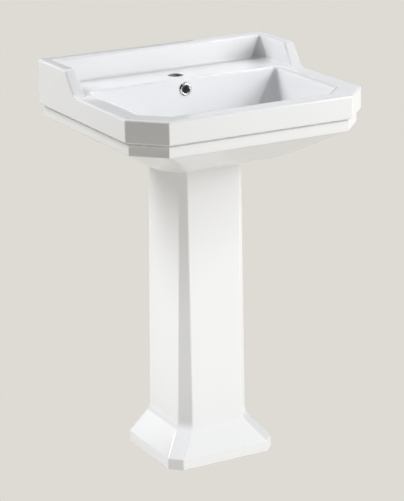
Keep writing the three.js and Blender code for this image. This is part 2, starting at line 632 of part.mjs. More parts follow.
const trapCup = () => atWaste([
  [0, CUP_BOTTOM_Z], [24, CUP_BOTTOM_Z], [31, CUP_BOTTOM_Z + 4], [34, CUP_BOTTOM_Z + 12],
  [34, HEAD_FOOT_Z - 4], [33, HEAD_FOOT_Z - 3], [30.6, HEAD_FOOT_Z - 3], [30.6, CUP_BOTTOM_Z + 14],
  [24, CUP_BOTTOM_Z + 4], [0, CUP_BOTTOM_Z + 4],
]);

// The outlet's pieces are turned about the pipe: their profiles run [radius, distance from the wall plane].
const alongOutlet = (profile) => outFromWall(turned(profile), 0, TRAP_OUTLET_Z);

const trapOutletSeal = () => alongOutlet([
  [PIPE_RADIUS + 0.3, OUTLET_NECK_Y + GAP], [19.4, OUTLET_NECK_Y + GAP], [17.4, OUTLET_NECK_Y + 5],
  [PIPE_RADIUS + 0.3, OUTLET_NECK_Y + 5],
]);

const trapOutletNut = () => alongOutlet([
  [20.4, OUTLET_NECK_Y - 9], [23.5, OUTLET_NECK_Y - 9], [23.5, OUTLET_NECK_Y + 7],
  [21.5, OUTLET_NECK_Y + 9], [PIPE_RADIUS + 0.5, OUTLET_NECK_Y + 9],
  [PIPE_RADIUS + 0.5, OUTLET_NECK_Y + 5.4], [20.4, OUTLET_NECK_Y + 5.4],
]);

const outletPipe = () => alongOutlet([
  [PIPE_BORE, OUTLET_NECK_Y - 12], [PIPE_RADIUS, OUTLET_NECK_Y - 12], [PIPE_RADIUS, 0], [PIPE_BORE, 0],
]);

const wallFlange = () => alongOutlet([
  [PIPE_RADIUS + 0.4, -12], [PIPE_RADIUS + 2, -12], [20.5, -10], [22, -7], [22, 0],
  [PIPE_RADIUS + 0.4, 0],
]);

// ---- wall fixings ----------------------------------------------------------------------------------------
// Each is a stud out of the wall, a sleeve that keeps it off the china, a washer and a nut.
function wallFixing(side) {
  const x = side * FIXING_X;
  const face = -BACK_WALL - GAP;
  const place = (geometry) => outFromWall(geometry, x, FIXING_Z);
  const sleeve = place(turned([
    [5.3, face - 3.5], [13, face - 3.5], [13, face], [FIXING_HOLE_RADIUS - GAP, face],
    [FIXING_HOLE_RADIUS - GAP, 0], [5.3, 0],
  ], 0, 0, 20));
  const nut = geometryOf(hexNut(17, 5.3, face - 14.4, face - 6.4));
  return {
    stud: place(cylinder(5, -58, 0, 0, 0, 16)),
    sleeve,
    washer: place(ring(5.3, 12, face - 6, face - 3.8, 0, 0, 20)),
    nut: place(nut),
  };
}

// ---- assembly --------------------------------------------------------------------------------------------
const part = new THREE.Group();
part.name = "pedestal_basin";
part.position.y = BASIN_DEPTH / 2;

function add(name, geometry, material) {
  const mesh = new THREE.Mesh(geometry, material);
  mesh.name = name;
  part.add(mesh);
}

add("basin", basin(), GLAZE);
add("pedestal", pedestal(), GLAZE);
add("bedding_seal", beddingSeal(), SILICONE);
add("overflow_ring", overflowRing(), CHROME);

add("waste_body", wasteBody(), CHROME);
add("waste_flange_seal", wasteFlangeSeal(), RUBBER);
add("waste_lower_washer", wasteLowerWasher(), RUBBER);
add("waste_back_nut", wasteBackNut(), BRASS);
add("plug_cartridge", plugCartridge(), BRASS);
add("plug_spring", plugSpring(), STEEL);
add("plug_stem", plugStem(), BRASS);
add("plug_seal", plugSeal(), RUBBER);
add("plug_cap", plugCap(), CHROME);

add("trap_inlet_nut", trapInletNut(), CHROME);
add("trap_inlet_washer", trapInletWasher(), RUBBER);
add("trap_inlet_tube", trapInletTube(), CHROME);
add("trap_collar_nut", trapCollarNut(), CHROME);
add("trap_collar_seal", trapCollarSeal(), RUBBER);
add("trap_head", trapHead(), CHROME);
add("trap_cup_seal", trapCupSeal(), RUBBER);
add("trap_cup", trapCup(), CHROME);
add("trap_outlet_nut", trapOutletNut(), CHROME);
add("trap_outlet_seal", trapOutletSeal(), RUBBER);
add("outlet_pipe", outletPipe(), CHROME);
add("wall_flange", wallFlange(), CHROME);

for (const [side, word] of [[-1, "left"], [1, "right"]]) {
  const fixing = wallFixing(side);
  add(`wall_stud_${word}`, fixing.stud, STEEL);
  add(`wall_sleeve_${word}`, fixing.sleeve, NYLON);
  add(`wall_washer_${word}`, fixing.washer, STEEL);
  add(`wall_nut_${word}`, fixing.nut, STEEL);
}

export default part;
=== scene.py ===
"""A bathroom basin on a full pedestal, with its overflow, push-to-close waste, bottle trap and wall fixings.

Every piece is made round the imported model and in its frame, in metres. Shapes are laid out from the wall plane,
where y is 0 and the front is towards -Y, and are moved to the frame as their meshes are made. Small turned
fittings are drawn in millimetres.
"""

import json
import math

import bmesh
import bpy
import numpy as np
from bpy.props import FloatProperty, FloatVectorProperty, PointerProperty
from mathutils import Matrix, Vector
from mathutils.bvhtree import BVHTree

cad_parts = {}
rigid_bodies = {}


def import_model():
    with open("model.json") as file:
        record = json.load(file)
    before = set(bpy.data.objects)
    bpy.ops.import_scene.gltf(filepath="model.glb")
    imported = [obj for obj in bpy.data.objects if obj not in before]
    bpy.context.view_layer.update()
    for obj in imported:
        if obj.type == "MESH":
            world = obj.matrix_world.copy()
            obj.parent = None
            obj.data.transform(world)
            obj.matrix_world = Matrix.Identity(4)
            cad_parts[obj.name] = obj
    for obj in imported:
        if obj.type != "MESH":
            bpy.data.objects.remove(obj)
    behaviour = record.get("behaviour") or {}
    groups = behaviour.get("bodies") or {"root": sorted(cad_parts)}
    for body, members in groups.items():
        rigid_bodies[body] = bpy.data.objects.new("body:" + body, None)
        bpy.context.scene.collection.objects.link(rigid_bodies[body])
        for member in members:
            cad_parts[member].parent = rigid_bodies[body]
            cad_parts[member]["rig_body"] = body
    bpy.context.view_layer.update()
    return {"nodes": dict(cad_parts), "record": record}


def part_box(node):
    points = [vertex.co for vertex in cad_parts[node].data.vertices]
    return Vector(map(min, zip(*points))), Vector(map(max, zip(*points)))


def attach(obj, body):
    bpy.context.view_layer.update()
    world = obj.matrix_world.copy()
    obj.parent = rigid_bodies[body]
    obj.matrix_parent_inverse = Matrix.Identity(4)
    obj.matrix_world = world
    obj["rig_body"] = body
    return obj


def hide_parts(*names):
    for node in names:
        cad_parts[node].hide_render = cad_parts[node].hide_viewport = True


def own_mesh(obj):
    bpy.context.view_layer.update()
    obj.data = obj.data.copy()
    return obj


bl_info = {
    "name": "Pedestal Basin",
    "version": (1, 0, 0),
    "blender": (4, 5, 0),
    "location": "3D View > Sidebar > Basin",
    "description": "Makes a pedestal basin with its waste, trap and wall fixings, and a studio for it",
    "category": "Add Mesh",
}

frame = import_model()

MM = 0.001
WALL_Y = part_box("basin")[1].y
SLOT_OF = {part["node"]: part["material_slot"] for part in frame["record"]["subparts"]}
ARC_STEPS = 8  # segments in each corner of the large outlines
SHARP = math.radians(38)  # edges that turn more than this stay sharp


def span(node, axis="Z"):
    """Lowest and highest place of a CAD node along an axis, in millimetres; along Y they are from the wall."""
    low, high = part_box(node)
    i = "XYZ".index(axis)
    shift = WALL_Y if axis == "Y" else 0
    return (low[i] - shift) / MM, (high[i] - shift) / MM


# ---- sizes and colours that a user would change ------------------------------------------------------------
def length(name, description, default):
    return FloatProperty(name=name, description=description, default=default, unit="LENGTH", precision=4)


def ratio(name, description, default):
    return FloatProperty(name=name, description=description, default=default, min=0.0, precision=3)


def colour(name, description, default):
    return FloatVectorProperty(
        name=name, description=description, default=default, subtype="COLOR", size=3, min=0.0, max=1.0
    )


class BasinSizes(bpy.types.PropertyGroup):
    """Sizes of the basin. Depths are distances from the wall."""

    width: length("Width", "Over the wings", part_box("basin")[1].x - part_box("basin")[0].x)
    depth: length("Depth", "From the wall to the front edge", WALL_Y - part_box("basin")[0].y)
    rim_height: length("Rim height", "Of the flat rim above the floor", 0.838)
    upper_band: length("Upper band", "Height of the upper band of the side", 0.0497)
    lower_band: length("Lower band", "Height of the lower band of the side", 0.0287)
    band_step: length("Band step", "How far the lower band stands back", 0.0092)
    corner_width: length("Corner width", "Leg of the cut front corner along the front", 0.065)
    corner_depth: length("Corner depth", "Leg of the cut front corner along the side", 0.068)
    corner_round: length("Corner round", "Radius of the upright edges of the cut corners", 0.0045)
    edge_round: length("Edge round", "Radius of the outer top edges", 0.0055)
    band_round: length("Band round", "Radius of the lower edges of the bands", 0.0032)
    china: length("China", "Thickness of the cast walls", 0.009)
    back_wall: length("Back wall", "Thickness of the wall face", 0.012)
    upstand_height: length("Upstand top", "Of the upstand above the floor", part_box("basin")[1].z)
    upstand_top: length("Upstand thickness", "At its top", 0.0295)
    upstand_foot: length("Upstand foot", "Where its face meets the deck, without the cove", 0.040)
    wing_top: length("Wing thickness", "At its top", 0.024)
    wing_draft: length("Wing draft", "Extra thickness of a wing at its foot", 0.003)
    wing_front: length("Wing front", "Where the top of a wing ends", 0.136)
    wing_slope: length("Wing slope end", "Where its sloping front would reach the rim", 0.1754)
    wing_cove: length("Wing cove", "Radius at the foot of its sloping front", 0.026)
    tray_cove: length("Tray cove", "Radius at the foot of the upstand and wings", 0.005)
    tray_corner_foot: length("Tray corner at the foot", "Leg of its cut upright corner at the deck", 0.026)
    tray_corner_top: length("Tray corner at the top", "Leg of its cut upright corner at the top", 0.0025)
    groove_height: length("Groove height", "Height of the groove between the bands", 0.0048)
    groove_depth: length("Groove depth", "Depth of the groove between the bands", 0.005)
    tap_hole_depth: length("Tap hole depth", "From the wall to its centre", 0.1036)
    tap_hole_radius: length("Tap hole radius", "Radius of the tap hole", 0.0175)


class BowlSizes(bpy.types.PropertyGroup):
    """Sizes of the inside of the bowl."""

    rim_half: length("Half width", "At the rim", 0.243)
    rim_back: length("Rim back", "From the wall to the back edge at the rim", 0.1435)
    rim_front: length("Rim front", "From the wall to the front edge at the rim", 0.445)
    rim_corner: length("Rim corner", "Legs of the cut front corners at the rim", 0.052)
    rim_back_corner: length("Rim back corner", "Legs of the cut back corners at the rim", 0.017)
    lip: length("Lip", "Height of the lip's round", 0.009)
    half_width: length("Wall half width", "Of the walls, taken up to the rim", 0.231)
    back: length("Wall back", "From the wall plane to the back wall, taken up to the rim", 0.146)
    front: length("Wall front", "From the wall plane to the front wall, taken up to the rim", 0.437)
    corner: length("Wall corner", "Legs of the cut front corners of the walls", 0.046)
    back_corner: length("Wall back corner", "Legs of the cut back corners, taken up to the rim", 0.004)
    back_spread: ratio("Back spread", "Growth of the back corners with depth", 0.43)
    depth: length("Depth", "From the rim to the foot of the walls", 0.122)
    round: length("Floor round", "How far the round of the floor reaches in", 0.048)
    back_round: ratio("Back round", "Reach of the floor's round at the back, as a share of the others", 0.3)
    side_draft: ratio("Side draft", "Slope of the side walls", 0.2)
    back_draft: ratio("Back draft", "Slope of the back wall", 0.11)
    front_draft: ratio("Front draft", "Slope of the front wall", 0.3)
    edge_radius: length("Corner radius", "Radius of the front corners' edges at the rim", 0.008)
    front_spread: ratio("Front spread", "Growth of the front corners' radius with depth", 0.25)
    fall: ratio("Fall", "Slope of the floor towards the waste", 0.085)
    overflow_height: length("Overflow height", "Of the overflow hole above the floor", 0.815)


class PedestalSizes(bpy.types.PropertyGroup):
    """Sizes of the pedestal."""

    height: length("Height", "Of its head above the floor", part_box("pedestal")[1].z)
    wall: length("Wall", "Thickness of its walls", 0.010)
    back_return: length("Back return", "Width of the back edges beside the opening", 0.022)
    edge_round: length("Edge round", "Radius of its upright edges", 0.006)
    flare_radius: length("Flare radius", "Of the cove above the sloping foot", 0.035)
    shaft_foot: length("Shaft foot", "Height at which the cove meets the shaft", 0.095)


class FinishColours(bpy.types.PropertyGroup):
    """Colours of the finishes."""

    china: colour("China", "White glaze", (0.888, 0.893, 0.903))
    biscuit: colour("Biscuit", "Unglazed china on the faces that meet wall and floor", (0.72, 0.68, 0.6))
    # The china is really unglazed there, but this dark tone is painted shade for the hollow and the holes, not its
    # own colour.
    raw: colour("Raw china", "Unglazed china inside the casting and in its holes", (0.4, 0.39, 0.37))
    chrome: colour("Chrome", "Polished chrome plate", (0.78, 0.79, 0.8))
    brass: colour("Brass", "Turned brass", (0.72, 0.53, 0.25))
    steel: colour("Steel", "Zinc-plated steel", (0.55, 0.56, 0.57))
    rubber: colour("Rubber", "Black rubber", (0.02, 0.02, 0.021))
    nylon: colour("Nylon", "Natural nylon", (0.8, 0.78, 0.72))
    sealant: colour("Sealant", "White silicone", (0.82, 0.82, 0.79))


class StudioSettings(bpy.types.PropertyGroup):
    """Floor, lights and camera."""

    floor: colour("Floor", "Colour of the floor", (0.73, 0.708, 0.658))
    key_right: ratio("Right light", "High light in front to the right", 1.05)
    low_right: ratio("Low right light", "Low light in front to the right", 1.00)
    front_right: ratio("Front right light", "Between the right light and the front", 0.11)
    front: ratio("Front light", "Large light in front", 0.06)
    front_top: ratio("Front top light", "Steep light in front", 0.09)
    overhead: ratio("Overhead light", "Large light straight above", 0.22)
    left: ratio("Left light", "Light behind to the left", 1.98)
    low_left: ratio("Low left light", "Low light behind to the left", 0.16)
    far_right: ratio("Far right light", "Large light behind to the right", 0.13)
    foot_front: ratio("Foot light", "Spot on the pedestal's foot from the front left", 1.60)
    foot_left: ratio("Left foot light", "Spot on the pedestal's foot from the left", 1.45)
    light: colour("Light", "Colour of the lights", (0.985, 0.99, 1.0))
    lens: FloatProperty(name="Lens", description="Focal length", default=147.5, min=10, subtype="DISTANCE_CAMERA")


# ---- outlines and profiles ---------------------------------------------------------------------------------
def unit(v):
    return v / np.linalg.norm(v)


def fillet(before, here, after, radius, steps):
    """Points of the arc that rounds the corner between two straight runs."""
    before, here, after = (np.asarray(p, float) for p in (before, here, after))
    towards, away = unit(before - here), unit(after - here)
    if radius <= 0 or np.linalg.norm(towards + away) < 1e-6:
        return [here] * (steps + 1)
    half = math.acos(float(np.clip(towards @ away, -1, 1))) / 2
    room = 0.49 * min(np.linalg.norm(before - here), np.linalg.norm(after - here))
    reach = min(radius / math.tan(half), room)
    radius = reach * math.tan(half)
    centre = here + unit(towards + away) * radius / math.sin(half)
    spoke = here + towards * reach - centre
    side = towards[1] * away[0] - towards[0] * away[1]
    turn = math.copysign(math.pi - 2 * half, side)
    arc = []
    for k in range(steps + 1):
        c, s = math.cos(turn * k / steps), math.sin(turn * k / steps)
        arc.append(centre + np.array([c * spoke[0] - s * spoke[1], s * spoke[0] + c * spoke[1]]))
    return arc


def eased(path, ease, closed, steps=3):
    """A path of (across, up) or (across, up, corner radius) points with its corners rounded."""
    points = []
    for i, (x, y, *own) in enumerate(path):
        radius = own[0] if own else ease
        if radius == 0 or (not closed and i in (0, len(path) - 1)):
            points.append((x, y))
        else:
            following = path[(i + 1) % len(path)]
            points += fillet(path[i - 1][:2], (x, y), following[:2], radius, steps)
    return np.array(points)


def cut_corners(half, back, front, leg_x, leg_y=None):
    """Corners of a section with square back corners and cut front corners, anticlockwise from above."""
    leg_y = leg_x if leg_y is None else leg_y
    return np.array(
        [
            (half, back),
            (-half, back),
            (-half, front + leg_y),
            (-half + leg_x, front),
            (half - leg_x, front),
            (half, front + leg_y),
        ]
    )


def even(count):
    return np.linspace(0, 1, count + 2)[1:-1]


def back_fractions(count=30):
    """Places along the back edge, closer together in the middle so that the waste's circle is smooth."""
    s = np.linspace(-1, 1, count + 2)[1:-1]
    lean = math.radians(72)
    return 0.5 + 0.5 * (0.5 * s + 0.5 * np.tan(s * lean) / math.tan(lean))


BEHIND_WINGS, BEFORE_WINGS = 6, 14  # places along a side behind and in front of the pinned ones


def side_fractions(start, end, pinned):
    """Places along a side that runs from start to end, both depths, with some held at the pinned depths."""
    behind = np.linspace(start, pinned[0], BEHIND_WINGS + 1)[1:-1]
    before = np.linspace(pinned[-1], end, BEFORE_WINGS + 1)[1:-1]
    return (np.concatenate([behind, pinned, before]) - start) / (end - start)


def cut_corner(before, here, after, leg, radius):
    """Points of a corner that is cut across, with both edges of the cut rounded."""
    here = np.asarray(here, float)
    first = here + unit(np.asarray(before) - here) * leg
    last = here + unit(np.asarray(after) - here) * leg
    half = ARC_STEPS // 2 - 1
    middle = (first + last) / 2
    return [*fillet(before, first, last, radius, half), middle, *fillet(first, last, after, radius, half)]


def outline(corners, radii, sides, pinned=None):
    """A closed outline: the given places along each side, and an arc at each corner or, for a pair, a cut."""
    count, arcs = len(corners), []
    for i, radius in enumerate(radii):
        around = corners[i - 1], corners[i], corners[(i + 1) % count]
        is_cut = isinstance(radius, tuple)
        arcs.append(cut_corner(*around, *radius) if is_cut else fillet(*around, radius, ARC_STEPS))
    points = []
    for i in range(count):
        start, end = arcs[i][-1], arcs[(i + 1) % count][0]
        places = sides[i]
        if pinned is not None and i == 1:
            places = side_fractions(start[1], end[1], pinned)
        if pinned is not None and i == 5:
            places = 1 - side_fractions(end[1], start[1], pinned)[::-1]
        points += arcs[i] + [start + (end - start) * t for t in places]
    return np.array(points)


def mixed(a, b, t):
    return a + (b - a) * t


# ---- meshes ------------------------------------------------------------------------------------------------
def lift(xy, z):
    """A row of points: an outline at a height, or at a height for each of its points."""
    return np.column_stack([xy, np.broadcast_to(z, len(xy))])


def placed(name, data):
    """A new object in the scene."""
    obj = bpy.data.objects.new(name, data)
    bpy.context.scene.collection.objects.link(obj)
    return obj


def close_up(mesh, near):
    """Merges the points of a closed mesh that lie together, and turns its faces out."""
    bm = bmesh.new()
    bm.from_mesh(mesh)
    bmesh.ops.remove_doubles(bm, verts=bm.verts, dist=near)
    bmesh.ops.dissolve_degenerate(bm, edges=bm.edges, dist=1e-7)
    if bm.calc_volume(signed=True) < 0:
        bmesh.ops.reverse_faces(bm, faces=bm.faces)
    bm.to_mesh(mesh)
    bm.free()


def mesh_from(name, vertices, faces):
    """A new object with a closed mesh whose faces point out, from points laid out from the wall plane."""
    vertices = np.asarray(vertices, float).reshape(-1, 3) + (0, WALL_Y, 0)
    mesh = bpy.data.meshes.new(name)
    mesh.from_pydata(vertices.tolist(), [], faces)
    close_up(mesh, 2e-6)
    return placed(name, mesh)


def skin(name, rows, ring=False, caps=False):
    """A closed mesh through rows of points. A ring joins the last row to the first; caps close both ends."""
    rows = np.asarray(rows, float)
    n_rows, n_columns = rows.shape[:2]
    faces = []
    for k in range(n_rows if ring else n_rows - 1):
        low, high = k * n_columns, ((k + 1) % n_rows) * n_columns
        for i in range(n_columns):
            j = (i + 1) % n_columns
            faces.append((low + i, low + j, high + j, high + i))
    if caps:
        faces.append(tuple(range(n_columns))[::-1])
        faces.append(tuple(range((n_rows - 1) * n_columns, n_rows * n_columns)))
    return mesh_from(name, rows, faces)


def ring_row(angles, radius, height, x, y, z, axis):
    """A row of a turned piece: one radius, or one for each angle, at a height up, or out of the wall along Y."""
    across, along, level = radius * np.cos(angles), radius * np.sin(angles), np.full(len(angles), height)
    return np.column_stack([across + x, along + y, level] if axis == "Z" else [across + x, level, along + z])


def turned(name, path, x=0.0, y=0.0, axis="Z", z=0.0, ease=0.35, segments=72):
    """A piece turned from (radius, height) points in millimetres. Heights run up, or out of the wall along Y."""
    solid = path[0][0] == 0 and path[-1][0] == 0
    profile = eased(path, ease, closed=not solid) * MM
    angles = np.arange(segments) * 2 * math.pi / segments
    return skin(name, [ring_row(angles, r, h, x, y, z, axis) for r, h in profile], ring=not solid)


def tube(inner, outer, low, high):
    """The path of a plain tube, or of a rod where the inner radius is 0."""
    return [(inner, low), (outer, low), (outer, high), (inner, high)]


def block(name, low, high, radius=0.0):
    """A block between two corners with its upright edges rounded."""
    (x0, y0, z0), (x1, y1, z1) = low, high
    corners = [(x1, y1), (x0, y1), (x0, y0), (x1, y0)]
    edge = [p for i in range(4) for p in fillet(corners[i - 1], corners[i], corners[(i + 1) % 4], radius, 5)]
    if radius == 0:
        edge = corners
    return skin(name, [lift(np.array(edge), z0), lift(np.array(edge), z1)], caps=True)


def move(obj, matrix):
    """Moves a piece by moving its points, so that its object stays at the origin."""
    obj.data.transform(matrix)
    return obj


def result_of(obj):
    """The object's mesh with its modifiers applied, and no modifiers left on it."""
    mesh = bpy.data.meshes.new_from_object(obj.evaluated_get(bpy.context.evaluated_depsgraph_get()))
    obj.modifiers.clear()
    obj.data = mesh
    return obj


def combine(obj, operation, tools):
    for tool in tools:
        modifier = obj.modifiers.new("combine", "BOOLEAN")
        modifier.operation, modifier.solver, modifier.object = operation, "EXACT", tool
        result_of(obj)
        bpy.data.objects.remove(tool)
    return obj


def cut(obj, *tools):
    return combine(obj, "DIFFERENCE", tools)


def fuse(obj, *tools):
    return combine(obj, "UNION", tools)


def add_shells(obj, *others):
    """Puts the meshes of other pieces into a piece as they are."""
    bm = bmesh.new()
    bm.from_mesh(obj.data)
    for other in others:
        bm.from_mesh(other.data)
        bpy.data.objects.remove(other)
    bm.to_mesh(obj.data)
    bm.free()
    return obj


def keep_largest(obj):
    """Drops every loose island of a mesh but the one with the most points."""
    bm = bmesh.new()
    bm.from_mesh(obj.data)
    left, islands = set(bm.verts), []
    while left:
        island, edge = set(), [left.pop()]
        while edge:
            v = edge.pop()
            island.add(v)
            for e in v.link_edges:
                w = e.other_vert(v)
                if w in left:
                    left.discard(w)
                    edge.append(w)
        islands.append(island)
    islands.sort(key=len)
    spare = [v for island in islands[:-1] for v in island]
    bmesh.ops.delete(bm, geom=spare, context="VERTS")
    bm.to_mesh(obj.data)
    bm.free()
    return obj


def finish_piece(obj, node):
    """Shades a piece, gives it its finish, and lets it stand for its CAD node on its body."""
    mesh = obj.data
    mesh.shade_smooth()
    mesh.set_sharp_from_angle(angle=SHARP)
    weighted = obj.modifiers.new("weighted", "WEIGHTED_NORMAL")
    weighted.keep_sharp = True
    result_of(obj)
    slot = SLOT_OF[node]
    obj.data.materials.clear()
    obj.data.materials.append(bpy.data.materials[slot])
    obj.data.name = obj.name
    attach(obj, frame["nodes"][node]["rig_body"])
    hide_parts(node)


def fitting(name, node, path, **shape):
    """A turned piece that stands for one CAD node."""
    finish_piece(turned(name, path, **shape), node)


# ---- repeated detail: threads, the spring and grips, by Geometry Nodes ---------------------------------------
def new_tree(name, sizes):
    """An empty node tree with its named sizes, a material and one geometry output."""
    tree = bpy.data.node_groups.new(name, "GeometryNodeTree")
    for label, default in sizes.items():
        kind = "NodeSocketInt" if isinstance(default, int) else "NodeSocketFloat"
        tree.interface.new_socket(label, in_out="INPUT", socket_type=kind).default_value = default
    tree.interface.new_socket("Material", in_out="INPUT", socket_type="NodeSocketMaterial")
    tree.interface.new_socket("Geometry", in_out="OUTPUT", socket_type="NodeSocketGeometry")
    return tree, tree.nodes.new("NodeGroupInput")


def end_tree(tree, given, fed, geometry):
    """Feeds the tree's sizes to sockets, and ends it in Realize Instances and Set Material."""
    for label, node, socket in fed:
        tree.links.new(given.outputs[label], node.inputs[socket])
    realize = tree.nodes.new("GeometryNodeRealizeInstances")
    paint = tree.nodes.new("GeometryNodeSetMaterial")
    made = tree.nodes.new("NodeGroupOutput")
    tree.links.new(geometry, realize.inputs["Geometry"])
    tree.links.new(realize.outputs["Geometry"], paint.inputs["Geometry"])
    tree.links.new(given.outputs["Material"], paint.inputs["Material"])
    tree.links.new(paint.outputs["Geometry"], made.inputs["Geometry"])
    return tree


def helix_tree():
    """A wire wound round the Z axis: a thread's ridge where the wire has few sides, a spring where it has many."""
    sizes = {"Radius": 0.01, "Height": 0.02, "Turns": 5.0, "Wire radius": 0.0005, "Sides": 4, "Steps per turn": 48}
    tree, given = new_tree("Wound wire", sizes)
    spiral = tree.nodes.new("GeometryNodeCurveSpiral")
    wire = tree.nodes.new("GeometryNodeCurvePrimitiveCircle")
    sweep = tree.nodes.new("GeometryNodeCurveToMesh")
    sweep.inputs["Fill Caps"].default_value = True
    tree.links.new(spiral.outputs["Curve"], sweep.inputs["Curve"])
    tree.links.new(wire.outputs["Curve"], sweep.inputs["Profile Curve"])
    fed = (
        ("Steps per turn", spiral, "Resolution"),
        ("Turns", spiral, "Rotations"),
        ("Radius", spiral, "Start Radius"),
        ("Radius", spiral, "End Radius"),
        ("Height", spiral, "Height"),
        ("Sides", wire, "Resolution"),
        ("Wire radius", wire, "Radius"),
    )
    return end_tree(tree, given, fed, sweep.outputs["Mesh"])


def grip_tree():
    """Round ribs that stand in a circle about the Z axis, for the grip of a nut or a cup."""
    tree, given = new_tree("Grip ribs", {"Radius": 0.02, "Count": 24, "Rib radius": 0.001, "Rib length": 0.01})
    circle = tree.nodes.new("GeometryNodeMeshCircle")
    rib = tree.nodes.new("GeometryNodeMeshCylinder")
    place = tree.nodes.new("GeometryNodeInstanceOnPoints")
    rib.inputs["Vertices"].default_value = 10
    tree.links.new(circle.outputs["Mesh"], place.inputs["Points"])
    tree.links.new(rib.outputs["Mesh"], place.inputs["Instance"])
    fed = (
        ("Count", circle, "Vertices"),
        ("Radius", circle, "Radius"),
        ("Rib radius", rib, "Radius"),
        ("Rib length", rib, "Depth"),
    )
    return end_tree(tree, given, fed, place.outputs["Instances"])


def from_tree(name, tree, slot, **values):
    """A plain mesh made by a node tree, with its inputs set by their identifiers."""
    obj = placed(name, bpy.data.meshes.new(name))
    modifier = obj.modifiers.new(name, "NODES")
    modifier.node_group = tree
    values["Material"] = bpy.data.materials[slot]
    for item in tree.interface.items_tree:
        if item.item_type == "SOCKET" and item.in_out == "INPUT":
            modifier[item.identifier] = values[item.name.replace(" ", "_")]
    close_up(result_of(obj).data, 1e-7)
    return obj


def wound_wire(name, slot, radius, height, turns, wire, sides, steps):
    """A wire wound round the Z axis, with its sizes in millimetres."""
    return from_tree(
        name,
        bpy.data.node_groups.get("Wound wire") or helix_tree(),
        slot,
        Radius=radius * MM,
        Height=height * MM,
        Turns=turns,
        Wire_radius=wire * MM,
        Sides=sides,
        Steps_per_turn=steps,
    )


def stand(obj, along, x=0.0, y=0.0, axis="Z", z=0.0):
    """Moves a piece made about Z to a place in metres, so many millimetres up, or out of the wall along Y."""
    if axis == "Z":
        return move(obj, Matrix.Translation((x, y + WALL_Y, along * MM)))
    return move(obj, Matrix.Translation((x, along * MM + WALL_Y, z)) @ Matrix.Rotation(math.radians(90), 4, "X"))


def thread(slot, radius, low, high, pitch, axis="Z", **place):
    """The ridge of a thread, in millimetres along its axis and across."""
    ridge = wound_wire("thread", slot, radius - 0.5, high - low, (high - low) / pitch, 0.52, 4, 40)
    return stand(ridge, low if axis == "Z" else high, axis=axis, **place)


def grip(slot, radius, count, rib, low, high, **place):
    """Grip ribs between two heights, in millimetres."""
    ribs = from_tree(
        "grip",
        bpy.data.node_groups.get("Grip ribs") or grip_tree(),
        slot,
        Radius=radius * MM,
        Count=count,
        Rib_radius=rib * MM,
        Rib_length=(high - low) * MM,
    )
    return stand(ribs, (low + high) / 2, **place)


# ---- basin -------------------------------------------------------------------------------------------------
WASTE_Y = (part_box("waste_body")[0].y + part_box("waste_body")[1].y) / 2 - WALL_Y
WASTE_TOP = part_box("waste_body")[1].z
RECESS_RADIUS, RECESS_Z = 0.035, WASTE_TOP - 0.0055
HOLE_RADIUS = 0.023
BOSS_RADIUS, BOSS_Z = 0.037, WASTE_TOP - 0.0415
BOSS_TOOL = (640, 706)  # ends of the tool that keeps the boss solid, in millimetres above the floor
SEAT_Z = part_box("pedestal")[1].z + 0.003
CHANNEL_Z = (0.675, 0.689)  # floor and roof of its run to the waste
CHANNEL_TOP = 0.825
DUCT_FRONT = -0.165  # of the china round the channel, inside the bowl's wall
CHANNEL_Y = (-0.143, -0.131)
CHANNEL_HALF, CHANNEL_WALL = 0.014, 0.007
HEAD = {"half": 0.0763, "back": -0.109, "front": -0.2685, "corner": 0.013}  # the pedestal's top
HEAD_ROOM = 0.002  # how far the basin's flat seat reaches past it
WINDOW_HALF, WINDOW_FRONT = 0.236, -0.124  # the opening through the back of the underside
APART = 2e-4  # keeps the faces of two tools from lying in one plane
# places along each side: the back, one side, its cut corner, the front, the other cut corner, the other side
SIDES = [back_fractions(), even(37), even(4), even(18), even(4), even(37)]


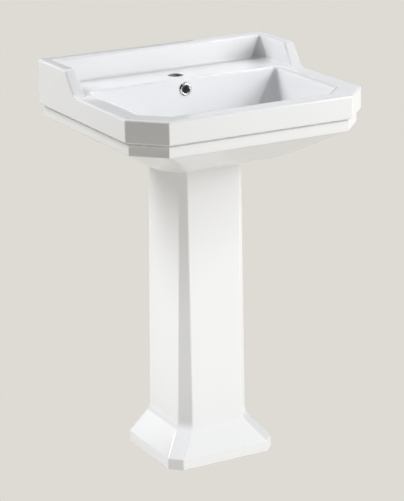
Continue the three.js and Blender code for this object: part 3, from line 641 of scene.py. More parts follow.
class BasinShape:
    """The outlines and heights that the basin's skin and its hollow are made from."""

    def __init__(self, basin, bowl):
        self.b, self.o = basin, bowl
        self.rim = basin.rim_height
        self.half = basin.width / 2
        self.step_z = self.rim - basin.upper_band
        self.foot_z = self.step_z - basin.lower_band
        self.wing = self.wing_profile()
        ys = self.wing[:, 0][::-1]
        self.pinned = np.concatenate([[-0.085, -0.1, -0.115], -np.sort(-ys[(ys > -0.19) & (ys < -0.12)]), [-0.2]])
        plan = outline(self.band_corners(0), self.band_radii(0), self.blank_sides(), self.pinned)
        self.sides = self.sides_like(plan)

    def blank_sides(self):
        n = BEHIND_WINGS - 1 + len(self.pinned) + BEFORE_WINGS - 1
        return [SIDES[0], even(n), SIDES[2], SIDES[3], SIDES[4], even(n)]

    def sides_like(self, plan):
        """The places along the sides of the outermost outline, for every outline that pins nothing."""
        sides = self.blank_sides()
        start = (ARC_STEPS + 1) * 2 + len(sides[0])
        run = plan[start - 1 : start + len(sides[1]) + 1, 1]
        places = (run[1:-1] - run[0]) / (run[-1] - run[0])
        sides[1], sides[5] = places, 1 - places[::-1]
        return sides

    def wing_profile(self):
        """Heights of the wing's top, from the wall to the front, with its brow and cove rounded."""
        b = self.b
        path = [
            (0, b.upstand_height),
            (-b.wing_front, b.upstand_height, 0.012),
            (-b.wing_slope, self.rim, b.wing_cove),
            (-0.4, self.rim),
        ]
        return eased(path, 0, closed=False, steps=9)

    def top(self, y):
        return np.interp(-np.asarray(y), -self.wing[:, 0], self.wing[:, 1])

    def band_corners(self, inset, back_inset=0.0):
        b = self.b
        shift = inset * (2 - math.sqrt(2))
        return cut_corners(
            self.half - inset, -back_inset, -b.depth + inset, b.corner_width - shift, b.corner_depth - shift
        )

    def band_radii(self, inset):
        front = max(self.b.corner_round - inset * 0.6, 0.0006)
        back = max(0.003 - inset * 0.6, 0.0004)
        return [back, back, front, front, front, front]

    def band(self, inset, back_inset=0.0):
        return outline(self.band_corners(inset, back_inset), self.band_radii(inset), self.sides, self.pinned)

    def bowl(self, depth, reach, grow=0.0):
        """The inside of the bowl at a depth below the rim; reach is how far the floor's round has come in."""
        o, square = self.o, grow * (2 - math.sqrt(2))
        half = o.half_width - o.side_draft * depth - reach + grow
        back = -o.back - o.back_draft * depth - reach * o.back_round + grow
        front = -o.front + o.front_draft * depth + reach - grow
        leg = o.back_corner + o.back_spread * depth + 0.2 * reach + square
        cut = (leg, 0.0045 + 0.06 * depth)
        edge = o.edge_radius + o.front_spread * depth + grow
        corners = cut_corners(half, back, front, o.corner + 0.4 * reach + square)
        return outline(corners, [cut, cut] + [edge] * 4, self.sides)

    def bowl_edge(self, grow=0.0):
        """The edge of the flat rim round the bowl."""
        o = self.o
        corners = cut_corners(o.rim_half + grow, -o.rim_back + grow, -o.rim_front - grow, o.rim_corner)
        cut = (o.rim_back_corner, 0.016)
        return outline(corners, [cut, cut] + [0.010] * 4, self.sides)

    def tray(self, up, out=0.0):
        """The inner face of the upstand and wings; up runs from 0 at the rim to 1 at the top."""
        b = self.b
        inset = b.wing_top + b.wing_draft * (1 - up) - out
        corners = self.band_corners(inset)
        back = -mixed(b.upstand_foot, b.upstand_top, up) + out
        corners[0, 1] = corners[1, 1] = back
        leg = mixed(b.tray_corner_foot, b.tray_corner_top, up) + out * (2 - math.sqrt(2))
        cut = (leg, 0.22 * leg)
        return outline(corners, [cut, cut] + [0.0015] * 4, self.sides, self.pinned)

    def around_waste(self, angles, radius):
        return np.column_stack([radius * np.cos(angles), WASTE_Y + radius * np.sin(angles)])

    def underside(self, t, inset=0.0):
        outer = self.band_corners(self.b.band_step + 0.005 + inset)
        half, back, front = HEAD["half"] + HEAD_ROOM, HEAD["back"] + HEAD_ROOM, HEAD["front"] - HEAD_ROOM
        corner = 0.008 if inset else HEAD["corner"] + 0.0012
        inner = cut_corners(half - inset, back - inset, front + inset, corner)
        soft = 4 * t * (1 - t)
        radii = [0.004 + 0.02 * soft] * 2 + [0.0045 + 0.075 * soft] * 4
        fall = (1 - (1 - t) ** 1.7) ** 1.1
        return outline(mixed(outer, inner, t), radii, self.sides), self.foot_z - (self.foot_z - SEAT_Z) * fall


def angles_about_waste(xy):
    """The angle of each point about the waste, rising steadily round the outline."""
    return np.unwrap(np.arctan2(xy[:, 1] - WASTE_Y, xy[:, 0]))


def quarter(steps=6):
    """Points of a quarter round of radius 1, as how far each is off one edge and how far on it is to the other."""
    return [(1 - math.sin(a), 1 - math.cos(a)) for a in np.linspace(0, math.pi / 2, steps + 1)]


def floor_height(shape, xy):
    away = np.hypot(xy[:, 0], xy[:, 1] - WASTE_Y) - RECESS_RADIUS
    return WASTE_TOP + 0.0004 + shape.o.fall * np.maximum(away, 0)


def bowl_rows(shape, grow=0.0, steps=10):
    """Rows of the bowl from the foot of its round up to the rim's round."""
    o, rows = shape.o, []
    base = floor_height(shape, shape.bowl(o.depth, o.round))
    deepest = shape.rim - base
    rise = 0.85 * o.round
    for angle in np.linspace(math.pi / 2, 0, steps + 1):
        reach, lag = o.round * (1 - math.cos(angle)), 1 - math.sin(angle)
        xy = shape.bowl(o.depth - rise * lag, reach, grow)
        depth = deepest - (rise + deepest - o.depth) * lag
        rows.append(lift(xy, shape.rim - depth - grow))
    for depth in (0.06, 0.035, 0.02, o.lip):
        rows.append(lift(shape.bowl(depth, 0, grow), shape.rim - depth - grow))
    wall, edge = shape.bowl(o.lip, 0, grow), shape.bowl_edge(grow)
    for off, on in quarter(9)[1:]:
        rows.append(lift(mixed(wall, edge, on), shape.rim - grow - o.lip * off))
    return rows


def basin_skin(shape):
    """The whole glazed surface as one closed skin, from the waste hole over the rim and back under the basin."""
    b, rows = shape.b, []
    bowl = bowl_rows(shape)
    above = angles_about_waste(bowl[0][:, :2])
    seat = shape.underside(1.0)[0]
    below = angles_about_waste(seat)
    below += 2 * math.pi * np.round((above[0] - below[0]) / (2 * math.pi))

    def add(xy, z):
        rows.append(lift(xy, z))

    for r, z in ((0.0245, BOSS_Z), (0.0234, BOSS_Z + 0.0004), (HOLE_RADIUS, BOSS_Z + 0.0015)):
        add(shape.around_waste(below, r), z)
    for t in (0.25, 0.5, 0.75, 1.0):
        add(shape.around_waste(mixed(below, above, t), HOLE_RADIUS), mixed(BOSS_Z, RECESS_Z - 0.001, t))
    for r, z in (
        (0.0233, RECESS_Z - 0.0003), (0.024, RECESS_Z), (0.0325, RECESS_Z), (0.0341, RECESS_Z + 0.0005),
        (0.0347, RECESS_Z + 0.0015), (0.0349, WASTE_TOP - 0.0015), (0.0352, WASTE_TOP - 0.0005),
    ):  # fmt: skip
        add(shape.around_waste(above, r), z)
    for t in (0.0, 0.03, 0.08, 0.16, 0.28, 0.42, 0.58, 0.74, 0.88):
        ease = 0.0005 * (1 - min(t / 0.08, 1))
        circle = shape.around_waste(above, RECESS_RADIUS + 0.0008)
        xy = mixed(circle, bowl[0][:, :2], t)
        add(xy, floor_height(shape, xy) - ease)
    rows += bowl

    foot = shape.tray(0)
    lean, shift = shape.tray(1) - foot, (shape.tray(0, 0.001) - foot) / 0.001
    height = shape.top(foot[:, 1]) - shape.rim
    height[height < 2e-5] = 0
    full = b.upstand_height - shape.rim
    cove = np.minimum(b.tray_cove, 0.45 * height)
    brow = np.minimum(b.edge_round, 0.45 * height)

    def face(rise, out):
        xy = foot + lean * (rise / full)[:, None] + shift * out[:, None]
        add(xy, shape.rim + rise)

    start = foot - shift * cove[:, None]
    edge = rows[-1][:, :2]
    for t in (0.35, 0.7):
        add(mixed(edge, start, t), shape.rim)
    for off, on in quarter():
        face(cove * on, -cove * off)
    for t in (0.25, 0.5, 0.75):
        face(mixed(cove, height - brow, t), 0 * height)
    for off, on in quarter():
        face(height - brow * off, brow * on)
    inner = rows[-1][:, :2]
    outer = shape.band(b.edge_round, b.edge_round)
    for t in (0.3, 0.6):
        xy = mixed(inner, outer, t)
        add(xy, shape.top(xy[:, 1]))
    for off, on in quarter():
        inset = b.edge_round * off
        xy = shape.band(inset, inset)
        add(xy, shape.top(xy[:, 1]) - b.edge_round * on)
    crest, wall = rows[-1][:, 2], rows[-1][:, :2]
    for t in (0.33, 0.66, 1.0):
        add(wall, mixed(crest, shape.step_z + b.band_round, t))
    r = b.band_round
    for off, on in quarter(5)[1:]:
        add(shape.band(r * on), shape.step_z + r * off)
    for across, down in (
        (0.55, 0), (0.9, 0.02), (1.0, 0.12), (1.0, 0.7), (0.9, 0.86), (0.5, 0.95), (0.25, 1.0), (0.06, 1.12),
        (0, 1.35),
    ):  # fmt: skip
        inset = b.band_step + b.groove_depth * across
        add(shape.band(inset), shape.step_z - b.groove_height * down)
    for off, on in quarter(5):
        add(shape.band(b.band_step + r * on), shape.foot_z + r * off)
    for k in range(22):
        xy, z = shape.underside((k / 21) ** 1.3)
        add(xy, z)
    ring = shape.around_waste(below, BOSS_RADIUS + 0.002)
    for t in (0.04, 0.35, 0.7, 1.0):
        add(mixed(seat, ring, t), SEAT_Z)
    for r, z in (
        (BOSS_RADIUS + 0.0006, SEAT_Z - 0.0004), (BOSS_RADIUS, SEAT_Z - 0.002), (BOSS_RADIUS, BOSS_Z + 0.0012),
        (BOSS_RADIUS - 0.0004, BOSS_Z + 0.0003), (BOSS_RADIUS - 0.0012, BOSS_Z),
    ):  # fmt: skip
        add(shape.around_waste(below, r), z)
    return skin("basin_casting", rows, ring=True)


def basin_hollow(shape):
    """The space inside the casting, open through the back of the underside."""
    b = shape.b
    levels = [shape.underside(t**1.3, b.china) for t in np.linspace(1, 0, 12)]
    rows = [lift(xy, z + b.china + 0.001) for xy, z in levels]
    for z in (shape.foot_z + 0.014, shape.rim - b.china):
        rows.append(lift(shape.band(b.band_step + b.china, b.back_wall), z))
    for row in rows[:-2]:
        row[:, 1] = np.minimum(row[:, 1], -b.back_wall)
    hollow = skin("hollow", rows, caps=True)

    edge, window = 0.020, []
    for t in np.linspace(1, 0, 14):
        xy, z = shape.underside(t**1.3, edge)
        half, back = min(xy[:, 0].max(), WINDOW_HALF), -b.back_wall - 1e-4
        corners = [(half, back), (-half, back), (-half, WINDOW_FRONT), (half, WINDOW_FRONT)]
        points = [p for i in range(4) for p in fillet(corners[i - 1], corners[i], corners[(i + 1) % 4], 0.012, 6)]
        window.append(lift(np.array(points), z + 0.0005))
    low, high = window[0].copy(), window[-1].copy()
    low[:, 2], high[:, 2] = BOSS_Z - 0.02, shape.rim - b.china - APART
    fuse(hollow, skin("window", [low, *window, high], caps=True))

    outside = bowl_rows(shape, b.china, steps=6)
    base = shape.around_waste(angles_about_waste(outside[0][:, :2]), RECESS_RADIUS + b.china)
    above = outside[-1].copy()
    above[:, 2] = shape.rim + 0.005
    above[:, :2] *= 1.0001
    bowl = skin("bowl", [lift(base, WASTE_TOP - b.china), *outside, above], caps=True)
    half, back = CHANNEL_HALF + CHANNEL_WALL, CHANNEL_Y[1] + CHANNEL_WALL
    duct = block("duct", (-half, DUCT_FRONT, BOSS_Z + 0.002), (half, back, shape.rim - 0.001), 0.006)
    roof = CHANNEL_Z[1] + CHANNEL_WALL
    tunnel = block("tunnel", (-half, WASTE_Y, BOSS_Z + 0.0025), (half, back - APART, roof), 0.006)
    boss = turned("boss", tube(0, BOSS_RADIUS / MM, *BOSS_TOOL), y=WASTE_Y)
    cut(hollow, bowl, duct, tunnel, boss)
    return keep_largest(hollow)


def about_overflow(bowl, rim):
    """Turns a piece made about Z so that its axis is square to the back of the bowl at the overflow."""
    depth = rim - bowl.overflow_height
    wall_y = -bowl.back - bowl.back_draft * depth
    tilt = Matrix.Rotation(math.pi / 2 - math.atan(bowl.back_draft), 4, "X")
    place = Matrix.Translation((0, wall_y + WALL_Y, bowl.overflow_height))
    return place @ tilt @ Matrix.Translation((0, -WALL_Y, 0))


def make_basin(basin, bowl):
    shape = BasinShape(basin, bowl)
    casting = basin_skin(shape)
    hollow = basin_hollow(shape)
    tools = [surface_of(hollow)]
    cut(casting, hollow)
    half, (front, back), (low, high) = CHANNEL_HALF, CHANNEL_Y, CHANNEL_Z
    channel = block("channel", (-half, front, low), (half, back, CHANNEL_TOP), 0.004)
    tunnel = block("tunnel", (-half + APART, WASTE_Y, low + APART), (half - APART, back - APART, high))
    tap = tap_cutter(shape.rim / MM, basin.tap_hole_radius / MM, -basin.tap_hole_depth)
    overflow = turned("overflow", tube(0, 11.5, -14, 6), ease=0)
    move(overflow, about_overflow(bowl, shape.rim))
    fixings = [turned("hole", tube(0, 7, -17, 5), x=x, axis="Y", z=FIXING_Z, ease=0) for x in FIXING_X]
    tools += [surface_of(tool) for tool in (channel, tunnel, tap, overflow, *fixings)]
    cut(casting, channel, tunnel, tap, overflow, *fixings)
    # The faces these tools leave are bare china and are given painted shade.
    mark_raw_with_painted_shade(casting, tools, shape.rim - 0.001)
    finish_piece(casting, "basin")


def surface_of(obj):
    return BVHTree.FromObject(obj, bpy.context.evaluated_depsgraph_get())


def mark_raw_with_painted_shade(casting, tools, top):
    """Marks unglazed faces left by the tools for the hollow, channel and drilled holes; they get painted shade."""
    raw = casting.data.attributes.new("raw", "FLOAT", "CORNER")
    for face in casting.data.polygons:
        if face.center.z < top and any(tool.find_nearest(face.center, 1e-4)[0] for tool in tools):
            for i in face.loop_indices:
                raw.data[i].value = 1.0


def tap_cutter(rim, radius, y):
    """The tool for the tap hole: its mouth flares in a quarter round, so the glazed edge is soft."""
    ease = 0.9
    flare = [(radius + ease * on, rim - ease * off, 0) for off, on in quarter(6)]
    path = [(0, rim - 16, 0), (radius, rim - 16, 0), *flare, (radius + ease, rim + 4, 0), (0, rim + 4, 0)]
    return turned("tap", path, y=y, segments=96)


FIXING_X = [sum(span(f"wall_stud_{word}", "X")) / 2 * MM for word in ("left", "right")]
FIXING_Z = sum(span("wall_stud_left")) / 2 * MM


# ---- pedestal ----------------------------------------------------------------------------------------------
PLINTH = {"half": 0.1314, "back": -0.085, "front": -0.3039, "corner": 0.0253}
SHAFT = {"half": 0.0853, "back": -0.101, "front": -0.266, "corner": 0.0242}
FOOT_LEAN = math.radians(38.5)  # of the foot's slope from upright
LUG_X = 0.103  # of the two lugs that are screwed to the floor


def pedestal_section(p, half, z):
    """Its section where the outer face stands at a half width: from the shaft's foot up, or down the flare."""
    if z >= p.shaft_foot:
        low, high, t = SHAFT, HEAD, (z - p.shaft_foot) / (p.height - p.shaft_foot)
    else:
        low, high, t = SHAFT, PLINTH, (half - SHAFT["half"]) / (PLINTH["half"] - SHAFT["half"])
    return {key: mixed(low[key], high[key], t) for key in SHAFT}


def open_section(p, s, ease):
    """The section's outline, open at the back, with its walls thinned by ease from both sides."""
    corner = s["corner"] - ease * (2 - math.sqrt(2))
    half, back, front = s["half"] - ease, s["back"] - ease, s["front"] + ease
    depth = p.wall - 2 * ease
    inner = max(corner - depth * (2 - math.sqrt(2)), 0.001)
    tip = s["half"] - p.back_return + ease
    h, bk, fr = half - depth, back - depth, front + depth
    right = [(half, back), (tip, back), (tip, bk), (h, bk), (h, fr + inner), (h - inner, fr)]
    left_inner = [(-h + inner, fr), (-h, fr + inner), (-h, bk), (-tip, bk)]
    left_outer = [(-tip, back), (-half, back), (-half, front + corner), (-half + corner, front)]
    corners = np.array(right + left_inner + left_outer + [(half - corner, front), (half, front + corner)])
    edge, nose = max(p.edge_round - ease, 0.001), max(p.wall / 2 - 0.0002 - ease, 0.0004)
    radii = [0.007, nose, nose, *[0.003] * 6, nose, nose, 0.007] + [edge] * 4
    points = []
    for i in range(16):
        points += fillet(corners[i - 1], corners[i], corners[(i + 1) % 16], radii[i], 7)
    return np.array(points)


def make_pedestal(p):
    lean, cove = FOOT_LEAN, p.flare_radius
    meet = SHAFT["half"] + cove * (1 - math.cos(lean))
    drop = (PLINTH["half"] - meet) / math.tan(lean)
    knee = (p.shaft_foot - cove * math.sin(lean)) - drop
    path = [
        (PLINTH["half"], 0.0),
        (PLINTH["half"], knee, 0.0045),
        (SHAFT["half"], p.shaft_foot - cove * math.tan(lean / 2), cove),
        (SHAFT["half"], p.shaft_foot + 0.05),
    ]
    profile = eased(path, 0, closed=False, steps=12)
    foot, head = 0.0015, 0.003  # radii of the edges at the floor and at the top
    rows = []

    def add(half, z, ease=0.0, lower=0.0):
        rows.append(lift(open_section(p, pedestal_section(p, half, z), ease), z - lower))

    for off, on in quarter(4)[:-1]:
        add(PLINTH["half"], foot * on, foot * off)
    for half, z in profile[1:-1]:
        add(half, z)
    for z in (0.12, 0.2, 0.35, 0.5, p.height - head):
        add(0, z)
    for off, on in quarter(5)[1:]:
        add(0, p.height, head * on, head * off)
    pedestal = skin("pedestal_casting", rows, caps=True)
    lugs, holes = [], []
    y = PLINTH["back"]
    for x in (-LUG_X, LUG_X):
        lugs.append(block("lug", (x - 0.022, y - 0.045, 0.0003), (x + 0.022, y - 0.006, 0.014), 0.008))
        holes.append(turned("hole", [(0, -1), (4, -1), (4, 14, 1.2), (5.5, 15.5, 0), (0, 15.5)], x=x, y=y - 0.03))
    fuse(pedestal, *lugs)
    cut(pedestal, *holes)
    finish_piece(pedestal, "pedestal")


def make_bedding(p):
    """The bed of sealant, pressed out a little between the pedestal's head and the basin."""
    low, high = (v * MM for v in span("bedding_seal"))
    rows = []
    for t in np.linspace(0, 1, 7):
        bulge = 0.0008 * math.sin(math.pi * t)
        rows.append(lift(open_section(p, HEAD, 0.0016 - bulge), mixed(low, high, t)))
    finish_piece(skin("bedding_bead", rows, caps=True), "bedding_seal")


# ---- waste -------------------------------------------------------------------------------------------------
def hex_nut(name, across, bore, low, high, x=0.0, y=0.0, axis="Z", z=0.0):
    """A hexagon nut in millimetres, with both faces chamfered to a cone and the bore countersunk."""
    columns = 96
    angles = np.arange(columns) * 2 * math.pi / columns
    flat = across / 2
    off = (angles + math.pi / 6) % (math.pi / 3) - math.pi / 6
    hexagon = np.minimum(flat / np.cos(off), flat * 1.13)
    rows = []

    def row(radius, height):
        rows.append(ring_row(angles, radius * MM, height * MM, x, y, z, axis))

    row(bore + 0.6, low)
    for rise in np.linspace(0, 0.11 * flat, 6):
        row(np.minimum(hexagon, flat * 0.95 + rise * 1.7), low + rise)
    for rise in np.linspace(0.11 * flat, 0, 6):
        row(np.minimum(hexagon, flat * 0.95 + rise * 1.7), high - rise)
    row(bore + 0.6, high)
    row(bore, high - 0.6)
    row(bore, low + 0.6)
    return skin(name, rows, ring=True)


def make_overflow_ring(basin, bowl):
    path = [
        (8.3, -7, 0.3), (11.2, -7, 0.4), (11.2, 0.3, 0), (15.0, 0.3, 0.2), (15.0, 1.2, 0.8), (12.6, 3.0, 2.0),
        (10.0, 3.2, 0.9), (8.6, 1.8, 0.5), (8.3, -1.0, 0.5),
    ]  # fmt: skip
    ring = turned("overflow_trim", path, segments=96)
    finish_piece(move(ring, about_overflow(bowl, basin.rim_height)), "overflow_ring")


SLOT_Z = 0.682  # middle of the waste's slots
BAR_LOW, BAR_TOP = 653, 660  # its cross bar, in millimetres above the floor


def make_waste():
    low, top = span("waste_body")
    y = WASTE_Y
    path = [
        (18.6, low, 0.5), (20.1, low, 0.5), (20.1, top - 3, 0), (31.5, top - 3, 0.3), (31.5, top - 1.3, 0.6),
        (30.2, top, 0.7), (22.6, top, 1.2), (20.4, top - 2.8, 1.0), (18.6, top - 5, 1.5),
    ]  # fmt: skip
    body = turned("waste_fitting", path, y=y, segments=96)
    for axis in "XY":
        slot = block("slot", (-0.007, -0.007, -0.025), (0.007, 0.007, 0.025), 0.003)
        move(slot, Matrix.Translation((0, -WALL_Y, 0)))
        turn = Matrix.Rotation(math.radians(90), 4, axis)
        move(slot, Matrix.Translation((0, y + WALL_Y, SLOT_Z)) @ turn)
        cut(body, slot)
    bars = []
    for angle in (45, 135):
        bar = block("bar", (-0.0193, -0.0015, BAR_LOW * MM), (0.0193, 0.0015, BAR_TOP * MM), 0.0006)
        turn = Matrix.Rotation(math.radians(angle), 4, "Z") @ Matrix.Translation((0, -WALL_Y, 0))
        bars.append(move(bar, Matrix.Translation((0, y + WALL_Y, 0)) @ turn))
    hub = turned("hub", tube(3.9, 6.5, BAR_LOW, BAR_TOP), y=y, segments=48)
    fuse(bars[0], bars[1], hub)
    cut(bars[0], turned("bore", tube(0, 3.9, BAR_LOW - 3, BAR_TOP + 3), y=y, segments=48, ease=0))
    fuse(body, bars[0])
    add_shells(body, thread("chrome", 20.6, low + 1.5, 656, 2.31, y=y))
    finish_piece(body, "waste_body")

    fitting("flange_gasket", "waste_flange_seal", tube(21.3, 30.5, *span("waste_flange_seal")), y=y, ease=0.7)
    lo, hi = span("waste_lower_washer")
    path = [(21.3, lo, 0.5), (30, lo, 0.8), (29, hi, 0.8), (21.3, hi, 0.5)]
    fitting("tapered_gasket", "waste_lower_washer", path, y=y)
    lo, hi = span("waste_back_nut")
    finish_piece(hex_nut("back_nut", 52, 21.3, lo, hi, y=y), "waste_back_nut")


def make_plug():
    y = WASTE_Y
    path = [
        (0, 652), (3.7, 652, 0.5), (3.7, 660.3, 0), (7, 660.3, 0.5), (7, 664, 0.4), (6.4, 664.6, 0.3),
        (6.4, 668, 0.3), (7, 668.6, 0.4), (7, 695, 0.7), (5.6, 695, 0.4), (5.6, 665, 0.2), (0, 665),
    ]  # fmt: skip
    fitting("plug_latch", "plug_cartridge", path, y=y, segments=48)

    low, high = span("plug_spring")
    wire = 0.45
    spring = wound_wire("latch_spring", "steel", 4.2, high - low - 2 * wire, 5.0, wire, 12, 32)
    stand(spring, low + wire, y=y)
    finish_piece(spring, "plug_spring")
    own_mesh(spring)

    lo, hi = span("plug_stem")
    path = [
        (0, lo), (5, lo, 0.5), (5, 690, 0.4), (4.2, 690.5, 0.3), (4.2, hi - 6, 1.2), (12, hi - 5, 0.5),
        (12, hi, 0.3), (0, hi),
    ]  # fmt: skip
    fitting("plug_spindle", "plug_stem", path, y=y, segments=48)
    lo, hi = span("plug_seal")
    path = [
        (12.4, lo + 1, 0.3), (19, lo + 0.6, 0.8), (20.5, lo, 0.5), (24.6, lo, 0.6), (26.5, hi - 0.9, 0.5),
        (26.2, hi, 0.3), (12.4, hi, 0.3),
    ]  # fmt: skip
    fitting("plug_gasket", "plug_seal", path, y=y)
    lo, hi = span("plug_cap")
    crown, rim, radius = hi - lo, 2.4, 31.0
    dome = []
    for k in range(11):
        r = (radius - 0.8) * (1 - k / 10)
        dome.append((r, lo + rim + (crown - rim) * (1 - (r / radius) ** 2.4), 0))
    path = [(0, lo), (radius - 0.2, lo, 0.5), (radius, lo + rim - 0.7, 0.7), *dome]
    fitting("plug_dome", "plug_cap", path, y=y, segments=96)


# ---- bottle trap -------------------------------------------------------------------------------------------
def make_trap():
    y = WASTE_Y
    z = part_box("outlet_pipe")[0].z / MM + 16  # height of the pipe's axis: its lowest point and its radius
    lo, hi = span("trap_inlet_nut")
    path = [
        (16.5, lo, 0.5), (21.2, lo, 0.8), (23.6, lo + 2.6, 0.8), (23.6, hi - 1, 0.6), (22.8, hi, 0.4),
        (21.3, hi, 0.2), (21.3, lo + 4, 0.2), (16.5, lo + 4, 0.2),
    ]  # fmt: skip
    nut = turned("inlet_nut", path, y=y, segments=96)
    fuse(nut, grip("chrome", 23.3, 28, 1.15, lo + 4, hi - 2.2, y=y))
    finish_piece(nut, "trap_inlet_nut")
    fitting("inlet_gasket", "trap_inlet_washer", tube(15, 20, *span("trap_inlet_washer")), y=y, ease=0.5)
    lo, hi = span("trap_inlet_tube")
    path = [
        (14.4, lo, 0.4), (16, lo, 0.5), (16, hi - 3, 0.6), (20.4, hi - 3, 0.5), (20.4, hi, 0.4), (14.4, hi, 1.0),
    ]  # fmt: skip
    fitting("dip_tube", "trap_inlet_tube", path, y=y, segments=96)

    out = {"axis": "Y", "z": z * MM}
    for name, node, place in (
        ("collar_nut", "trap_collar_nut", {"y": y}),
        ("outlet_nut", "trap_outlet_nut", out),
    ):
        lo, hi = span(node, place.get("axis", "Z"))
        path = [
            (20.4, lo, 0.3), (22.4, lo, 0.5), (22.6, hi - 2.4, 0.8), (21.2, hi, 0.8), (16.5, hi, 0.4),
            (16.5, hi - 3.6, 0.2), (20.4, hi - 3.6, 0.2),
        ]  # fmt: skip
        nut = turned(name, path, segments=96, **place)
        fuse(nut, grip("chrome", 22.3, 28, 1.1, lo + 1.2, hi - 4, **place))
        finish_piece(nut, node)
    for name, node, place in (
        ("collar_gasket", "trap_collar_seal", {"y": y}),
        ("outlet_gasket", "trap_outlet_seal", out),
    ):
        lo, hi = span(node, place.get("axis", "Z"))
        fitting(name, node, [(16.3, lo), (19.4, lo), (17.4, hi), (16.3, hi)], ease=0.3, **place)

    foot, top = 498, 556  # of the trap's body, without its skirt
    shoulder = top - 13
    path = [
        (27.6, foot - 18, 0.5), (30, foot - 18, 0.8), (30, foot, 0), (33, foot, 0.8), (33, foot + 6, 0.8),
        (32, foot + 7, 0.6), (32, shoulder - 8, 3), (27, shoulder, 3), (20, shoulder, 1.5), (20, top, 0.6),
        (16.5, top, 0.4), (16.5, shoulder - 4, 1), (25, shoulder - 4, 3), (27.6, shoulder - 9, 2),
    ]  # fmt: skip
    head = turned("trap_body", path, y=y, segments=96)
    out_lo, out_hi = -189, span("trap_head", "Y")[1]  # ends of the outlet's boss
    boss = turned("boss", [(0, out_lo), (20, out_lo), (20, out_hi, 0.6), (0, out_hi)], segments=96, **out)
    cut(boss, turned("core", tube(0, 29, foot - 28, top + 14), y=y, segments=96))
    fuse(head, boss)
    cut(head, turned("bore", tube(0, 16.5, out_lo - 6, -160), segments=96, **out))
    add_shells(head, thread("chrome", 20.3, out_hi - 8.5, out_hi - 1, 1.8, **out))
    finish_piece(head, "trap_head")
    fitting("cup_gasket", "trap_cup_seal", tube(30.4, 32.6, *span("trap_cup_seal")), y=y, ease=0.5)
    lo, hi = span("trap_cup")
    path = [
        (0, lo), (20, lo, 1), (22, lo + 0.8, 1), (24, lo, 1), (28.5, lo + 1.6, 4), (33, lo + 9, 6),
        (33.2, lo + 16, 1), (33.2, hi - 13, 0.6), (32.6, hi - 12.4, 0.4), (33, hi - 11.6, 0.4), (33, hi, 0.8),
        (30.6, hi, 0.3), (30.6, lo + 14, 6), (24, lo + 4, 3), (0, lo + 4),
    ]  # fmt: skip
    cup = turned("trap_cup_shell", path, y=y, segments=96)
    fuse(cup, grip("chrome", 32.5, 40, 1.3, hi - 9.8, hi - 1.8, y=y))
    finish_piece(cup, "trap_cup")

    lo, hi = span("outlet_pipe", "Y")
    path = [(14.4, lo, 0.4), (16, lo, 0.5), (16, hi, 0.2), (14.4, hi, 0.2)]
    fitting("waste_pipe", "outlet_pipe", path, segments=96, **out)
    lo, hi = span("wall_flange", "Y")
    path = [
        (16.4, lo, 0.3), (18, lo, 0.6), (18.6, lo + 1.4, 1.2), (20.2, lo + 2.6, 1.6), (22, lo + 5, 1.6),
        (22, hi - 0.8, 0.6), (21.6, hi, 0.2), (16.4, hi, 0.2),
    ]  # fmt: skip
    fitting("pipe_flange", "wall_flange", path, segments=96, **out)


def make_fixings():
    for word, x in zip(("left", "right"), FIXING_X):
        place = {"x": x, "axis": "Y", "z": FIXING_Z}
        lo, hi = span(f"wall_stud_{word}", "Y")
        path = [(0, lo), (3.4, lo, 0.3), (4.45, lo + 1.2, 0.2), (4.45, hi, 0), (0, hi)]
        stud = turned(f"stud_{word}", path, segments=40, **place)
        add_shells(stud, thread("steel", 4.95, lo + 1, -14, 1.5, **place))
        finish_piece(stud, f"wall_stud_{word}")
        lo, hi = span(f"wall_sleeve_{word}", "Y")
        flange = lo + 3.5
        path = [(5.3, lo, 0.3), (13, lo, 0.8), (13, flange, 0.4), (6.7, flange, 0), (6.7, hi, 0.3), (5.3, hi, 0.2)]
        fitting(f"sleeve_{word}", f"wall_sleeve_{word}", path, segments=64, **place)
        lo, hi = span(f"wall_washer_{word}", "Y")
        path = [(5.3, lo), (12, lo, 0.5), (12, hi, 0.3), (5.3, hi)]
        fitting(f"washer_{word}", f"wall_washer_{word}", path, segments=64, **place)
        lo, hi = span(f"wall_nut_{word}", "Y")
        finish_piece(hex_nut(f"nut_{word}", 17, 5.3, lo, hi, **place), f"wall_nut_{word}")


